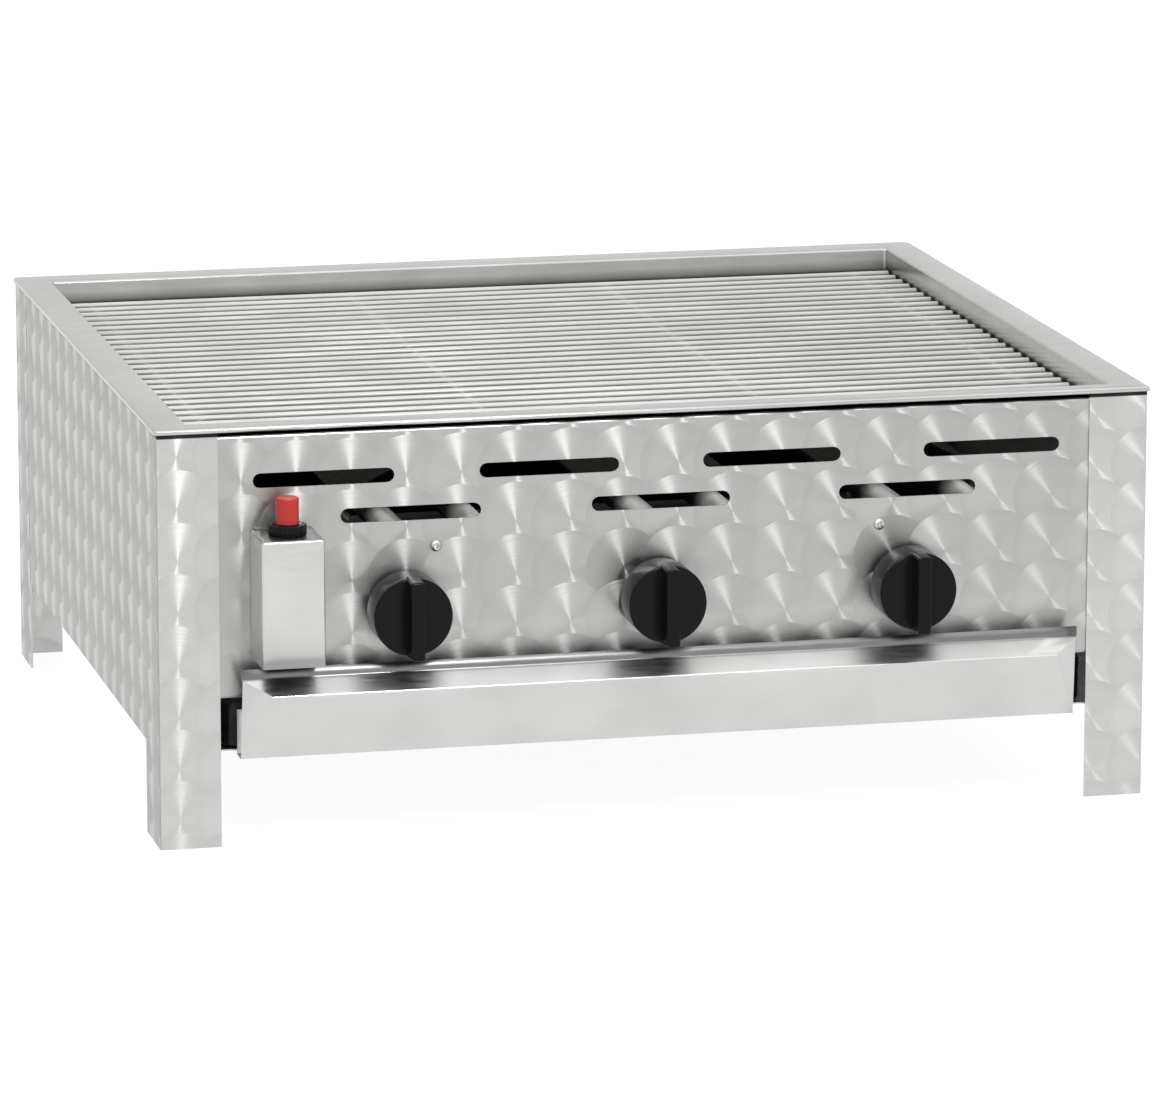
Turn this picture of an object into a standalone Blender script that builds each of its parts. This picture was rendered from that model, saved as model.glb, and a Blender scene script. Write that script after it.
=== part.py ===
"""Three-burner table-top gas charbroiler: a folded steel housing on four sheet legs, a bar grate in a
raised frame, hairpin tube burners on a gas rail with three push-and-turn taps, a push-button igniter
and a pull-out drip pan. Metres, +Z up, front towards -Y, origin under the middle of the outer box."""

import math

import bmesh
import bpy
from mathutils import Matrix, Vector

# Sheet metal and fits
SHEET = 0.0010
FIT = 0.0003  # gap between pieces that touch
SLIDE_GAP = 0.0020  # room beside a sliding piece
BEND = 0.0020  # outside radius of a folded edge

# Housing
WIDTH = 0.660
DEPTH = 0.580
HEIGHT = 0.275  # top of the rim
SIDE_BOTTOM = 0.062  # lower edge of the side and rear walls
PANEL_BOTTOM = 0.0975  # lower edge of the control panel
FRONT_LEG_SIDE = 0.050
FRONT_LEG_FACE = 0.040
REAR_LEG_SIDE = 0.048
REAR_LEG_FACE = 0.030
REAR_SEAM = 0.0020
REAR_WALL_RETURN = 0.070
PANEL_RETURN = 0.012

# Top frame and grate
RIM_LIP = 0.0030
RIM_SIDE = 0.0240
RIM_FRONT = 0.0163
RIM_REAR = 0.0263
RIM_REVEAL = 0.0022  # shadow gap between the rim's lip and the control panel
GRATE_DROP = 0.0140  # rim top to the top of the bars
BAR_RADIUS = 0.0020
BAR_COUNT = 28
BAR_MARGIN = 0.0125  # free space between the last bars and the frame's walls
BAR_END_GAP = 0.0015
ROD_RADIUS = 0.0020
ROD_COUNT = 4
ROD_SINK = 0.0008  # depth of the weld between a bar and a rod
ROD_INSET = 0.0245  # from a bar's tip to the outer rods
ROD_TAIL = 0.0030  # how far the rods run past the last bars
LEDGE = 0.0148

# Slots in the control panel
SLOT_LENGTH = 0.0925
SLOT_HEIGHT = 0.0097
UPPER_SLOTS = 4
UPPER_SLOT_PITCH = 0.1483
UPPER_SLOT_DROP = 0.0357  # below the rim's top, as every drop
LOWER_SLOT_PITCH = 0.1655
LOWER_SLOT_DROP = 0.0613
SLOT_SHIFT = 0.0013  # of all the slots to the right of the middle

# Burners and gas train, one of each for every burner
BURNER_PITCH = 0.1677
BURNER_SHIFT = -0.0021  # of the middle tap from the middle of the housing
BURNER_NAMES = ("left", "centre", "right")
BURNER_DROP = 0.0795
BURNER_RADIUS = 0.0090
BURNER_WALL = 0.0010
BURNER_LEGS_APART = 0.0540
BURNER_SETBACK = 0.0100  # from the housing front to the ends of the legs
BURNER_END = 0.0600  # from the housing rear to the hairpin's end
COVER_OVERHANG = 0.0240
COVER_RISE = 0.0250
COVER_LIFT = 0.0025
COVER_SETBACK = 0.0900
SUPPORT_HEIGHT = 0.0280
SUPPORT_SADDLE = 0.0018
SUPPORT_SETBACK = 0.0950
SUPPORT_RETURN = 0.0120
TAP_DROP = 0.1225
TAP_RADIUS = 0.0120
TAP_NECK_RADIUS = 0.0070
TAP_SETBACK = 0.0210
TAP_LENGTH = 0.0367
PLUG_RADIUS = 0.0070
PLUG_LENGTH = 0.0206
SPINDLE_RADIUS = 0.0030
KNOB_PUSH = 0.0040
RAIL_SIZE = 0.0160
RAIL_BORE = 0.0053
RAIL_PAST_LEFT = 0.0752  # beyond the outer taps
RAIL_PAST_RIGHT = 0.0245
PIPE_RADIUS = 0.0050
PIPE_INSET = 0.045  # from the housing's left side
FEED_RADIUS = 0.0030
AIR_GAP = 0.0010  # round the injector, where the burner draws its air
NIPPLE_RADIUS = 0.0065
NIPPLE_HEX = 0.0110
NIPPLE_REACH = 0.0480  # behind the housing
PROBE_RADIUS = 0.0015
BRACKET_WIDTH = 0.010
BRACKET_X = 0.1479
SCREW_DROP = 0.0835
SCREW_RADIUS = 0.0017
SCREW_HEAD = 0.0038

# Knobs
KNOB_RADIUS = 0.0257
KNOB_BACK = 0.0075  # in front of the housing
KNOB_FACE = 0.0330
GRIP_FRONT = 0.0480
GRIP_WIDTH = 0.0100
GRIP_LENGTH = 0.0525

# Igniter
BOX_INSET = 0.0605  # from the housing's left side to the cover
BOX_WIDTH = 0.0409
BOX_DEPTH = 0.0400
BOX_DROP = 0.0671
BOX_HEIGHT = 0.083
BUTTON_RADIUS = 0.0075
BUTTON_RISE = 0.0245  # above the cover
BUTTON_TRAVEL = 0.0050
NUT_RADIUS = 0.01225
NUT_HEIGHT = 0.0070
NECK_WALL = 0.0017
LEAD_RADIUS = 0.0015
LEAD_DROP = 0.0080
CERAMIC_RADIUS = 0.0030

# Drip pan
PAN_BOTTOM = 0.064
PAN_HEIGHT = 0.030
PAN_SHEET = 0.0008
PAN_REAR_GAP = 0.018
FRONT_INSET = 0.009  # of the pan's front from the pan's sides
FRONT_FOLD_INSET = 0.019  # of the folded edge from the front's ends
FRONT_BOTTOM_Z = 0.0596
FRONT_BOTTOM_REACH = 0.0090
FRONT_FOLD_Z = 0.104
FRONT_FOLD_REACH = 0.0300
FRONT_HEM_Z = 0.113
FRONT_HEM_REACH = 0.0140
FRONT_LIP_Z = 0.1195  # top of the upright lip behind the hem
FRONT_FLANGE_TOP = 0.090
RUNNER_LEDGE = 0.0130  # how far a runner reaches under the pan
RUNNER_HEIGHT = 0.020
PAN_SCREW_X = 0.200
PAN_SCREW_Z = 0.080

# Worked out from the sizes above
HALF_W = WIDTH / 2
FRONT = -DEPTH / 2
REAR = DEPTH / 2
WALL_TOP = HEIGHT - SHEET - FIT
INNER_X = HALF_W - SHEET - FIT
PANEL_Y = FRONT + SHEET + FIT
PANEL_TOP = HEIGHT - RIM_LIP - RIM_REVEAL
RIM_OUT = SHEET + FIT  # the rim's lip hangs just outside the walls
GRATE_Z = HEIGHT - GRATE_DROP - BAR_RADIUS
LEDGE_Z = GRATE_Z - BAR_RADIUS - FIT
BURNER_Z = HEIGHT - BURNER_DROP
TAP_Z = HEIGHT - TAP_DROP
SCREW_Z = HEIGHT - SCREW_DROP
SUPPORT_TOP = BURNER_Z - BURNER_RADIUS - FIT + SUPPORT_SADDLE
PAN_HALF = HALF_W - FRONT_LEG_FACE - SLIDE_GAP
FRONT_HALF = PAN_HALF - FRONT_INSET
FRONT_FOLD_HALF = FRONT_HALF - FRONT_FOLD_INSET
BURNER_XS = [(i - 1) * BURNER_PITCH + BURNER_SHIFT for i in range(len(BURNER_NAMES))]
FEED_Y = FRONT + TAP_SETBACK + TAP_LENGTH / 2 + TAP_RADIUS * 0.4
RAIL_LEFT = BURNER_XS[0] - RAIL_PAST_LEFT
RAIL_RIGHT = BURNER_XS[-1] + RAIL_PAST_RIGHT
PIPE_X = PIPE_INSET - HALF_W
BOX_X = BOX_INSET + BOX_WIDTH / 2 - HALF_W
BOX_TOP = HEIGHT - BOX_DROP
BOX_BOTTOM = BOX_TOP - BOX_HEIGHT
BUTTON_TOP = BOX_TOP + BUTTON_RISE

# Each set maps a profile's two directions and its run to the world: along X, towards the front, or up.
ALONG_X = Matrix(((0, 0, 1), (1, 0, 0), (0, 1, 0)))
TO_FRONT = Matrix(((1, 0, 0), (0, 0, -1), (0, 1, 0)))
UP = Matrix.Identity(3)


def clear_scene():
    for obj in list(bpy.data.objects):
        bpy.data.objects.remove(obj, do_unlink=True)


def new_collection(name):
    collection = bpy.data.collections.new(name)
    bpy.context.scene.collection.children.link(collection)
    return collection


def finish_material(name, colour, roughness, metallic):
    material = bpy.data.materials.new(name)
    material.use_nodes = True
    shader = material.node_tree.nodes["Principled BSDF"]
    shader.inputs["Base Color"].default_value = (*colour, 1)
    shader.inputs["Roughness"].default_value = roughness
    shader.inputs["Metallic"].default_value = metallic
    material.diffuse_color = (*colour, 1)
    return material


clear_scene()
PARTS = new_collection("charbroiler_grill")
CUTTERS = new_collection("cutters")

TURNED_STEEL = finish_material("engine_turned_steel", (0.62, 0.62, 0.61), 0.28, 1.0)
RIM_STEEL = finish_material("polished_rim_steel", (0.68, 0.68, 0.67), 0.20, 1.0)
SATIN_STEEL = finish_material("satin_steel", (0.70, 0.70, 0.68), 0.34, 1.0)
BAR_STEEL = finish_material("bright_grate_steel", (0.72, 0.72, 0.71), 0.18, 1.0)
TUBE_STEEL = finish_material("burner_tube_steel", (0.55, 0.53, 0.50), 0.35, 1.0)
BLACK_ENAMEL = finish_material("black_enamel", (0.010, 0.010, 0.011), 0.25, 0.0)
BLACK_PLASTIC = finish_material("black_phenolic", (0.012, 0.012, 0.012), 0.22, 0.0)
RED_PLASTIC = finish_material("red_button_plastic", (0.72, 0.03, 0.02), 0.30, 0.0)
BRASS = finish_material("tap_brass", (0.70, 0.52, 0.25), 0.30, 1.0)
CERAMIC = finish_material("electrode_ceramic", (0.80, 0.78, 0.72), 0.45, 0.0)
LEAD_RUBBER = finish_material("ignition_lead_silicone", (0.03, 0.03, 0.03), 0.50, 0.0)


def add_part(name, mesh, material, parent=None, place=(0, 0, 0), turn=UP):
    """Link a mesh as a named part; its place is given in the world and kept under the parent."""
    mesh.materials.append(material)
    part = bpy.data.objects.new(name, mesh)
    PARTS.objects.link(part)
    part.matrix_world = Matrix.Translation(place) @ turn.to_4x4()
    if parent:
        part.parent = parent
        part.matrix_parent_inverse = parent.matrix_world.inverted()
    return part


def as_cutter(part):
    part.hide_render = True
    part.display_type = "WIRE"
    PARTS.objects.unlink(part)
    CUTTERS.objects.link(part)
    return part


def boolean(part, other, operation):
    modifier = part.modifiers.new(operation.lower(), "BOOLEAN")
    modifier.operation = operation
    modifier.solver = "EXACT"
    modifier.object = as_cutter(other)


def mesh_from(name, build):
    """A mesh made by build(bm), with its corners sharp and the rest shaded smooth."""
    mesh = bpy.data.meshes.new(name)
    bm = bmesh.new()
    build(bm)
    bm.to_mesh(mesh)
    bm.free()
    mesh.shade_smooth()
    mesh.set_sharp_from_angle(angle=math.radians(35))
    return mesh


def rounded(points, radius, steps=3):
    """The path through points with every inner corner turned into an arc."""
    corners = [Vector((*point, 0)) if len(point) == 2 else Vector(point) for point in points]
    path = [corners[0]]
    for before, corner, after in zip(corners, corners[1:], corners[2:]):
        back = (before - corner).normalized()
        ahead = (after - corner).normalized()
        half = back.angle(ahead) / 2
        centre = corner + (back + ahead).normalized() * radius / math.sin(half)
        start = corner + back * radius / math.tan(half) - centre
        end = corner + ahead * radius / math.tan(half) - centre
        sweep = math.pi - 2 * half
        side = (end - start * math.cos(sweep)) / math.sin(sweep)
        for step in range(steps + 1):
            turn = sweep * step / steps
            path.append(centre + start * math.cos(turn) + side * math.sin(turn))
    path.append(corners[-1])
    return path


def folded_sheet(name, profile, run, direction, material, bend=BEND):
    """A folded sheet: its outer face follows the profile and its thickness lies to the left of travel."""
    path = rounded(profile, bend, 2) if bend else [Vector((*point, 0)) for point in profile]

    def build(bm):
        near = [bm.verts.new((p.x, p.y, run[0])) for p in path]
        far = [bm.verts.new((p.x, p.y, run[1])) for p in path]
        for i in range(len(path) - 1):
            bm.faces.new((near[i], near[i + 1], far[i + 1], far[i]))

    part = add_part(name, mesh_from(name, build), material, turn=direction)
    add_wall(part, SHEET)
    return part


def plate(name, outline, run, direction, material, place=(0, 0, 0)):
    """A flat plate with this outline, from run[0] to run[1] along its direction."""

    def build(bm):
        face = bm.faces.new([bm.verts.new((a, b, run[0])) for a, b in outline])
        pushed = bmesh.ops.extrude_face_region(bm, geom=[face])
        moved = [item for item in pushed["geom"] if isinstance(item, bmesh.types.BMVert)]
        bmesh.ops.translate(bm, vec=(0, 0, run[1] - run[0]), verts=moved)
        bmesh.ops.recalc_face_normals(bm, faces=bm.faces)

    return add_part(name, mesh_from(name, build), material, place=place, turn=direction)


def add_wall(part, thickness):
    wall = part.modifiers.new("wall", "SOLIDIFY")
    wall.thickness = thickness
    wall.offset = -1
    wall.use_even_offset = True
    wall.use_quality_normals = True


def box(name, low, high, material, parent=None):
    def build(bm):
        bmesh.ops.create_cube(bm, size=1)
        size = [b - a for a, b in zip(low, high)]
        middle = [(a + b) / 2 for a, b in zip(low, high)]
        bmesh.ops.scale(bm, vec=size, verts=bm.verts)
        bmesh.ops.translate(bm, vec=middle, verts=bm.verts)

    return add_part(name, mesh_from(name, build), material, parent)


def open_box(name, low, high, open_sides, thickness, material, parent=None):
    """A box of sheet with the sides whose outward directions are listed left open."""
    part = box(name, low, high, material, parent)
    bm = bmesh.new()
    bm.from_mesh(part.data)
    gone = [f for f in bm.faces if any(f.normal.dot(Vector(side)) > 0.9 for side in open_sides)]
    bmesh.ops.delete(bm, geom=gone, context="FACES")
    bm.to_mesh(part.data)
    bm.free()
    add_wall(part, thickness)
    return part


def rod(name, radius, run, place, direction, material, parent=None, sides=16):
    """A plain round rod from run[0] to run[1] along its direction."""

    def build(bm):
        bmesh.ops.create_cone(
            bm, cap_ends=True, segments=sides, radius1=radius, radius2=radius, depth=run[1] - run[0]
        )
        bmesh.ops.translate(bm, vec=(0, 0, (run[0] + run[1]) / 2), verts=bm.verts)

    return add_part(name, mesh_from(name, build), material, parent, place, direction)


def turned(name, profile, place, direction, material, parent=None, ring=False, steps=20):
    """A turned piece from a profile of (radius, height), which runs down its outer side."""
    mesh = bpy.data.meshes.new(name)
    edges = [(i, i + 1) for i in range(len(profile) - 1)]
    if ring:
        edges.append((len(profile) - 1, 0))
    mesh.from_pydata([(radius, 0, height) for radius, height in profile], edges, [])
    part = add_part(name, mesh, material, parent, place, direction)
    screw = part.modifiers.new("turn", "SCREW")
    screw.steps = steps
    screw.render_steps = steps
    screw.use_merge_vertices = True
    screw.merge_threshold = 0.00001
    screw.use_smooth_shade = True
    return part


def tube(name, paths, radius, material, parent=None, detail=2):
    """Round wire or tube along one or more paths, made a mesh so that it can be cut or joined."""
    curve = bpy.data.curves.new(name, "CURVE")
    curve.dimensions = "3D"
    curve.bevel_depth = radius
    curve.bevel_resolution = detail
    curve.use_fill_caps = True
    for path in paths:
        spline = curve.splines.new("POLY")
        spline.points.add(len(path) - 1)
        for point, where in zip(spline.points, path):
            point.co = (*where, 1)
    wire = bpy.data.objects.new(name + "_wire", curve)
    PARTS.objects.link(wire)
    graph = bpy.context.evaluated_depsgraph_get()
    mesh = bpy.data.meshes.new_from_object(wire.evaluated_get(graph))
    bpy.data.objects.remove(wire)
    bm = bmesh.new()
    bm.from_mesh(mesh)
    bmesh.ops.remove_doubles(bm, verts=bm.verts, dist=0.00001)
    bmesh.ops.recalc_face_normals(bm, faces=bm.faces)
    bm.to_mesh(mesh)
    bm.free()
    mesh.name = name
    mesh.shade_smooth()
    mesh.set_sharp_from_angle(angle=math.radians(50))
    return add_part(name, mesh, material, parent)


def joint_empty(name, place):
    empty = bpy.data.objects.new(name, None)
    empty.empty_display_size = 0.02
    PARTS.objects.link(empty)
    empty.location = place
    bpy.context.view_layer.update()
    return empty


def drill(part, radius, place, direction, run=(-0.01, 0.01), sides=16):
    """Drill a round hole of this radius through the part."""
    cutter = rod(part.name + "_drill", radius, run, place, direction, BRASS, sides=sides)
    boolean(part, cutter, "DIFFERENCE")


def cut_slot(part, x, z):
    """Cut a round-ended slot through the control panel."""
    reach = SLOT_LENGTH / 2 - SLOT_HEIGHT / 2
    steps = 6
    outline = []
    for side in (1, -1):
        for step in range(steps + 1):
            turn = side * math.pi / 2 - math.pi * step / steps
            across = side * reach + SLOT_HEIGHT / 2 * math.cos(turn)
            outline.append((across, SLOT_HEIGHT / 2 * math.sin(turn)))
    cutter = plate("slot_cutter", outline, (-0.01, 0.01), TO_FRONT, BRASS, (x, PANEL_Y, z))
    boolean(part, cutter, "DIFFERENCE")


def side_walls():
    """Each side is one folded sheet with the front leg; the rear leg is an angle of its own."""
    for side, word in ((-1, "left"), (1, "right")):
        wall = [
            (side * (HALF_W - FRONT_LEG_FACE), FRONT),
            (side * HALF_W, FRONT),
            (side * HALF_W, REAR - REAR_LEG_SIDE - REAR_SEAM),
        ]
        leg = [
            (side * HALF_W, REAR - REAR_LEG_SIDE),
            (side * HALF_W, REAR),
            (side * (HALF_W - REAR_LEG_FACE), REAR),
        ]
        panel = folded_sheet("side_panel_" + word, wall[::side], (0, WALL_TOP), UP, TURNED_STEEL)
        cut_low = (side * HALF_W - 0.01, FRONT + FRONT_LEG_SIDE, -0.01)
        cut_high = (side * HALF_W + 0.01, REAR, SIDE_BOTTOM)
        boolean(panel, box("leg_cut", cut_low, cut_high, BRASS), "DIFFERENCE")
        folded_sheet("rear_leg_" + word, leg[::side], (0, WALL_TOP), UP, TURNED_STEEL)


def front_panel():
    """The control panel, folded back at the top and bottom, with its slots and holes."""
    profile = [
        (PANEL_Y + PANEL_RETURN, PANEL_TOP),
        (PANEL_Y, PANEL_TOP),
        (PANEL_Y, PANEL_BOTTOM),
        (PANEL_Y + PANEL_RETURN, PANEL_BOTTOM),
    ]
    half = INNER_X - (BEND - SHEET)  # clear of the fold between the side wall and the leg's face
    panel = folded_sheet("front_panel", profile, (-half, half), ALONG_X, TURNED_STEEL)
    for i in range(UPPER_SLOTS):
        across = (i - (UPPER_SLOTS - 1) / 2) * UPPER_SLOT_PITCH
        cut_slot(panel, across + SLOT_SHIFT, HEIGHT - UPPER_SLOT_DROP)
    for i, x in enumerate(BURNER_XS):
        cut_slot(panel, (i - 1) * LOWER_SLOT_PITCH + SLOT_SHIFT, HEIGHT - LOWER_SLOT_DROP)
        drill(panel, SPINDLE_RADIUS + SLIDE_GAP, (x, PANEL_Y, TAP_Z), TO_FRONT)
    for x in (-BRACKET_X, BRACKET_X):
        drill(panel, SCREW_RADIUS + FIT, (x, PANEL_Y, SCREW_Z), TO_FRONT, sides=12)
    drill(panel, LEAD_RADIUS + SLIDE_GAP, (BOX_X, PANEL_Y, BOX_BOTTOM + LEAD_DROP), TO_FRONT, sides=12)


def rear_panel():
    """The rear wall, folded forward at both sides to carry the side walls and the rear legs."""
    back = REAR - SHEET - FIT
    profile = [
        (INNER_X, back - REAR_WALL_RETURN),
        (INNER_X, back),
        (-INNER_X, back),
        (-INNER_X, back - REAR_WALL_RETURN),
    ]
    panel = folded_sheet("rear_panel", profile, (SIDE_BOTTOM, WALL_TOP), UP, TURNED_STEEL)
    drill(panel, NIPPLE_RADIUS + FIT, (PIPE_X, back, TAP_Z), TO_FRONT, sides=20)


def frame_inside():
    """The inner edges of the top frame: half width, front and rear."""
    return (
        HALF_W + RIM_OUT - RIM_SIDE,
        FRONT - RIM_OUT + RIM_FRONT,
        REAR + RIM_OUT - RIM_REAR,
    )


def top_frame():
    """The rim: a lip, a flat top, the walls of the grate well and the ledge that the bars rest on."""
    inner_x, inner_front, inner_rear = frame_inside()
    outer = (HALF_W + RIM_OUT, FRONT - RIM_OUT, REAR + RIM_OUT)
    inner = (inner_x, inner_front, inner_rear)
    end_ledge = BAR_MARGIN - ROD_TAIL - SLIDE_GAP
    ledge = (inner_x - LEDGE, inner_front + end_ledge, inner_rear - end_ledge)
    stations = (
        (outer, HEIGHT - RIM_LIP),
        (outer, HEIGHT),
        (inner, HEIGHT),
        (inner, LEDGE_Z),
        (ledge, LEDGE_Z),
    )

    def build(bm):
        rings = []
        for (x, front, rear), z in stations:
            corners = ((x, front), (x, rear), (-x, rear), (-x, front))
            rings.append([bm.verts.new((a, b, z)) for a, b in corners])
        for low, high in zip(rings, rings[1:]):
            for k in range(4):
                n = (k + 1) % 4
                bm.faces.new((low[k], low[n], high[n], high[k]))

    add_wall(add_part("top_frame", mesh_from("top_frame", build), RIM_STEEL), SHEET)


def cooking_grate():
    """Round bars across the well, welded on rods that run front to back beneath them."""
    lift = joint_empty("grate_lift", (0, 0, GRATE_Z))
    inner_x, inner_front, inner_rear = frame_inside()
    tip = inner_x - BAR_END_GAP
    first = inner_front + BAR_MARGIN * 2
    last = inner_rear - BAR_MARGIN
    pitch = (last - first) / (BAR_COUNT - 1)
    bars = [[(-tip, first + i * pitch, GRATE_Z), (tip, first + i * pitch, GRATE_Z)] for i in range(BAR_COUNT)]
    rod_x = tip - ROD_INSET
    rod_z = GRATE_Z - BAR_RADIUS - ROD_RADIUS + ROD_SINK
    rods = []
    for i in range(ROD_COUNT):
        x = -rod_x + 2 * rod_x * i / (ROD_COUNT - 1)
        rods.append([(x, first - ROD_TAIL, rod_z), (x, last + ROD_TAIL, rod_z)])
    grate = tube("cooking_grate", bars, BAR_RADIUS, BAR_STEEL, lift, detail=1)
    boolean(grate, tube("grate_rods", rods, ROD_RADIUS, BAR_STEEL, lift, detail=1), "UNION")


def hairpin(x, shorten=0.0):
    """The burner's path: back along one leg, round the bend and forward along the other."""
    front = FRONT + BURNER_SETBACK
    end = REAR - BURNER_END
    bend = BURNER_LEGS_APART / 2
    corners = [
        (x, front + shorten, BURNER_Z),
        (x, end, BURNER_Z),
        (x + BURNER_LEGS_APART, end, BURNER_Z),
        (x + BURNER_LEGS_APART, front + shorten, BURNER_Z),
    ]
    return rounded(corners, bend - 0.00001, 5)


def burner(x, word):
    """A hairpin tube with closed ends, and a hole under its first leg that the injector points into."""
    body = tube("burner_" + word, [hairpin(x)], BURNER_RADIUS, TUBE_STEEL)
    inside = tube("burner_bore", [hairpin(x, BURNER_WALL * 2)], BURNER_RADIUS - BURNER_WALL, TUBE_STEEL)
    boolean(body, inside, "DIFFERENCE")
    under = (x, FEED_Y, BURNER_Z - BURNER_RADIUS)
    drill(body, FEED_RADIUS + AIR_GAP, under, UP, (-BURNER_WALL * 2, BURNER_WALL * 4))


def flame_cover(x, word):
    """A roof of enamelled sheet over both legs of a burner, on two end plates that stand on the tubes."""
    low = BURNER_Z + BURNER_RADIUS + FIT
    eave = low + COVER_LIFT
    left = x - COVER_OVERHANG
    right = x + BURNER_LEGS_APART + COVER_OVERHANG
    middle = (left + right) / 2
    ridge = eave + COVER_RISE
    run = (-(REAR - BURNER_END), -(FRONT + COVER_SETBACK))
    roof = [(right, eave), (middle, ridge), (left, eave)]
    cover = folded_sheet("flame_cover_" + word, roof, run, TO_FRONT, BLACK_ENAMEL, bend=0)
    into_roof = SHEET * 0.6
    shoulder = eave + COVER_RISE * COVER_OVERHANG / (middle - left) - into_roof
    end_plate = [
        (x, low),
        (x + BURNER_LEGS_APART, low),
        (x + BURNER_LEGS_APART, shoulder),
        (middle, ridge - into_roof),
        (x, shoulder),
    ]
    for end in (run[0] + SHEET * 4, run[1] - SHEET * 5):
        stand = plate("cover_stand", end_plate, (end, end + SHEET), TO_FRONT, BLACK_ENAMEL)
        boolean(cover, stand, "UNION")


def burner_supports():
    """Two cross members with a saddle for every burner leg."""
    for word, y in (("front", FRONT + SUPPORT_SETBACK), ("rear", REAR - SUPPORT_SETBACK)):
        profile = [
            (-INNER_X, y + SUPPORT_RETURN),
            (-INNER_X, y),
            (INNER_X, y),
            (INNER_X, y + SUPPORT_RETURN),
        ]
        run = (SUPPORT_TOP - SUPPORT_HEIGHT, SUPPORT_TOP)
        web = folded_sheet("burner_support_" + word, profile, run, UP, SATIN_STEEL)
        for x in BURNER_XS:
            for leg in (x, x + BURNER_LEGS_APART):
                drill(web, BURNER_RADIUS + FIT, (leg, y, BURNER_Z), TO_FRONT)


def gas_tap(x, word):
    """A brass tap behind the panel: the body, the plug that turns in it and the pipe to the injector."""
    place = (x, FRONT, TAP_Z)
    back = -(TAP_SETBACK + TAP_LENGTH)
    plug_back = back + TAP_LENGTH - PLUG_LENGTH - SHEET * 2.7
    plug_front = plug_back + PLUG_LENGTH
    bore = SPINDLE_RADIUS + FIT
    neck = -(SHEET * 2 + FIT * 2)
    body = [
        (0, plug_back - FIT),
        (PLUG_RADIUS + FIT, plug_back - FIT),
        (PLUG_RADIUS + FIT, plug_front + FIT),
        (bore, plug_front + FIT),
        (bore, neck),
        (TAP_NECK_RADIUS, neck),
        (TAP_NECK_RADIUS, -TAP_SETBACK),
        (TAP_RADIUS, -TAP_SETBACK),
        (TAP_RADIUS, back),
        (0, back),
    ]
    turned("gas_tap_" + word, body, place, TO_FRONT, BRASS)
    socket = plug_front - PLUG_LENGTH * 0.8
    pivot = joint_empty("knob_turn_" + word, place)
    plug = [
        (0, socket),
        (bore, socket),
        (bore, plug_front),
        (PLUG_RADIUS, plug_front),
        (PLUG_RADIUS, plug_back),
        (0, plug_back),
    ]
    turned("tap_plug_" + word, plug, place, TO_FRONT, BRASS, pivot)
    spindle_back = socket + KNOB_PUSH * 1.8
    spindle_front = KNOB_FACE - GRIP_WIDTH / 2
    run = (spindle_back, spindle_front)
    rod("tap_spindle_" + word, SPINDLE_RADIUS, run, place, TO_FRONT, BRASS, pivot)
    knob(place, word, pivot, spindle_front)

    under = BURNER_Z - BURNER_RADIUS
    injector_foot = under - FEED_RADIUS * 4
    run = (TAP_Z + TAP_RADIUS + FIT, injector_foot - FIT)
    rod("feed_pipe_" + word, FEED_RADIUS, run, (x, FEED_Y, 0), UP, BRASS)
    injector = [
        (0, under + FEED_RADIUS),
        (FEED_RADIUS, under + FEED_RADIUS),
        (FEED_RADIUS, under - FEED_RADIUS),
        (FEED_RADIUS * 1.7, under - FEED_RADIUS),
        (FEED_RADIUS * 1.7, injector_foot),
        (0, injector_foot),
    ]
    turned("injector_" + word, injector, (x, FEED_Y, 0), UP, BRASS, steps=12)


def knob(place, word, pivot, spindle_front):
    """A flat-faced knob with a straight grip across its face and a bore for the spindle."""
    chamfer = SHEET
    profile = [
        (0, KNOB_FACE),
        (KNOB_RADIUS - chamfer, KNOB_FACE),
        (KNOB_RADIUS, KNOB_FACE - chamfer),
        (KNOB_RADIUS, KNOB_BACK),
        (0, KNOB_BACK),
    ]
    cap = turned("knob_" + word, profile, place, TO_FRONT, BLACK_PLASTIC, pivot, steps=28)
    low = (place[0] - GRIP_WIDTH / 2, FRONT - GRIP_FRONT, TAP_Z - GRIP_LENGTH / 2)
    high = (place[0] + GRIP_WIDTH / 2, FRONT - KNOB_BACK - KNOB_FACE / 4, TAP_Z + GRIP_LENGTH / 2)
    boolean(cap, box("grip", low, high, BLACK_PLASTIC, pivot), "UNION")
    drill(cap, SPINDLE_RADIUS + FIT, place, TO_FRONT, (0, spindle_front + FIT))


def thermocouple(x, word):
    """A probe beside the burner's first leg, with its line back to the underside of the tap."""
    y = FRONT + TAP_SETBACK + TAP_LENGTH * 2 / 3
    below = TAP_Z - TAP_RADIUS - PROBE_RADIUS * 5
    beside = x + BURNER_RADIUS + PROBE_RADIUS * 5
    behind = FRONT + TAP_SETBACK + TAP_LENGTH + RAIL_SIZE + PROBE_RADIUS * 5
    top = SUPPORT_TOP + FIT + PROBE_RADIUS
    route = [
        (x, y, TAP_Z - TAP_RADIUS - FIT),
        (x, y, below),
        (beside, y + (beside - x) / 2, below),
        (beside, behind, below),
        (beside, behind, top),
        (beside, FRONT + SUPPORT_SETBACK + SUPPORT_RETURN * 2, top),
    ]
    tube("thermocouple_" + word, [rounded(route, PROBE_RADIUS * 2, 2)], PROBE_RADIUS, BRASS, detail=1)


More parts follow.
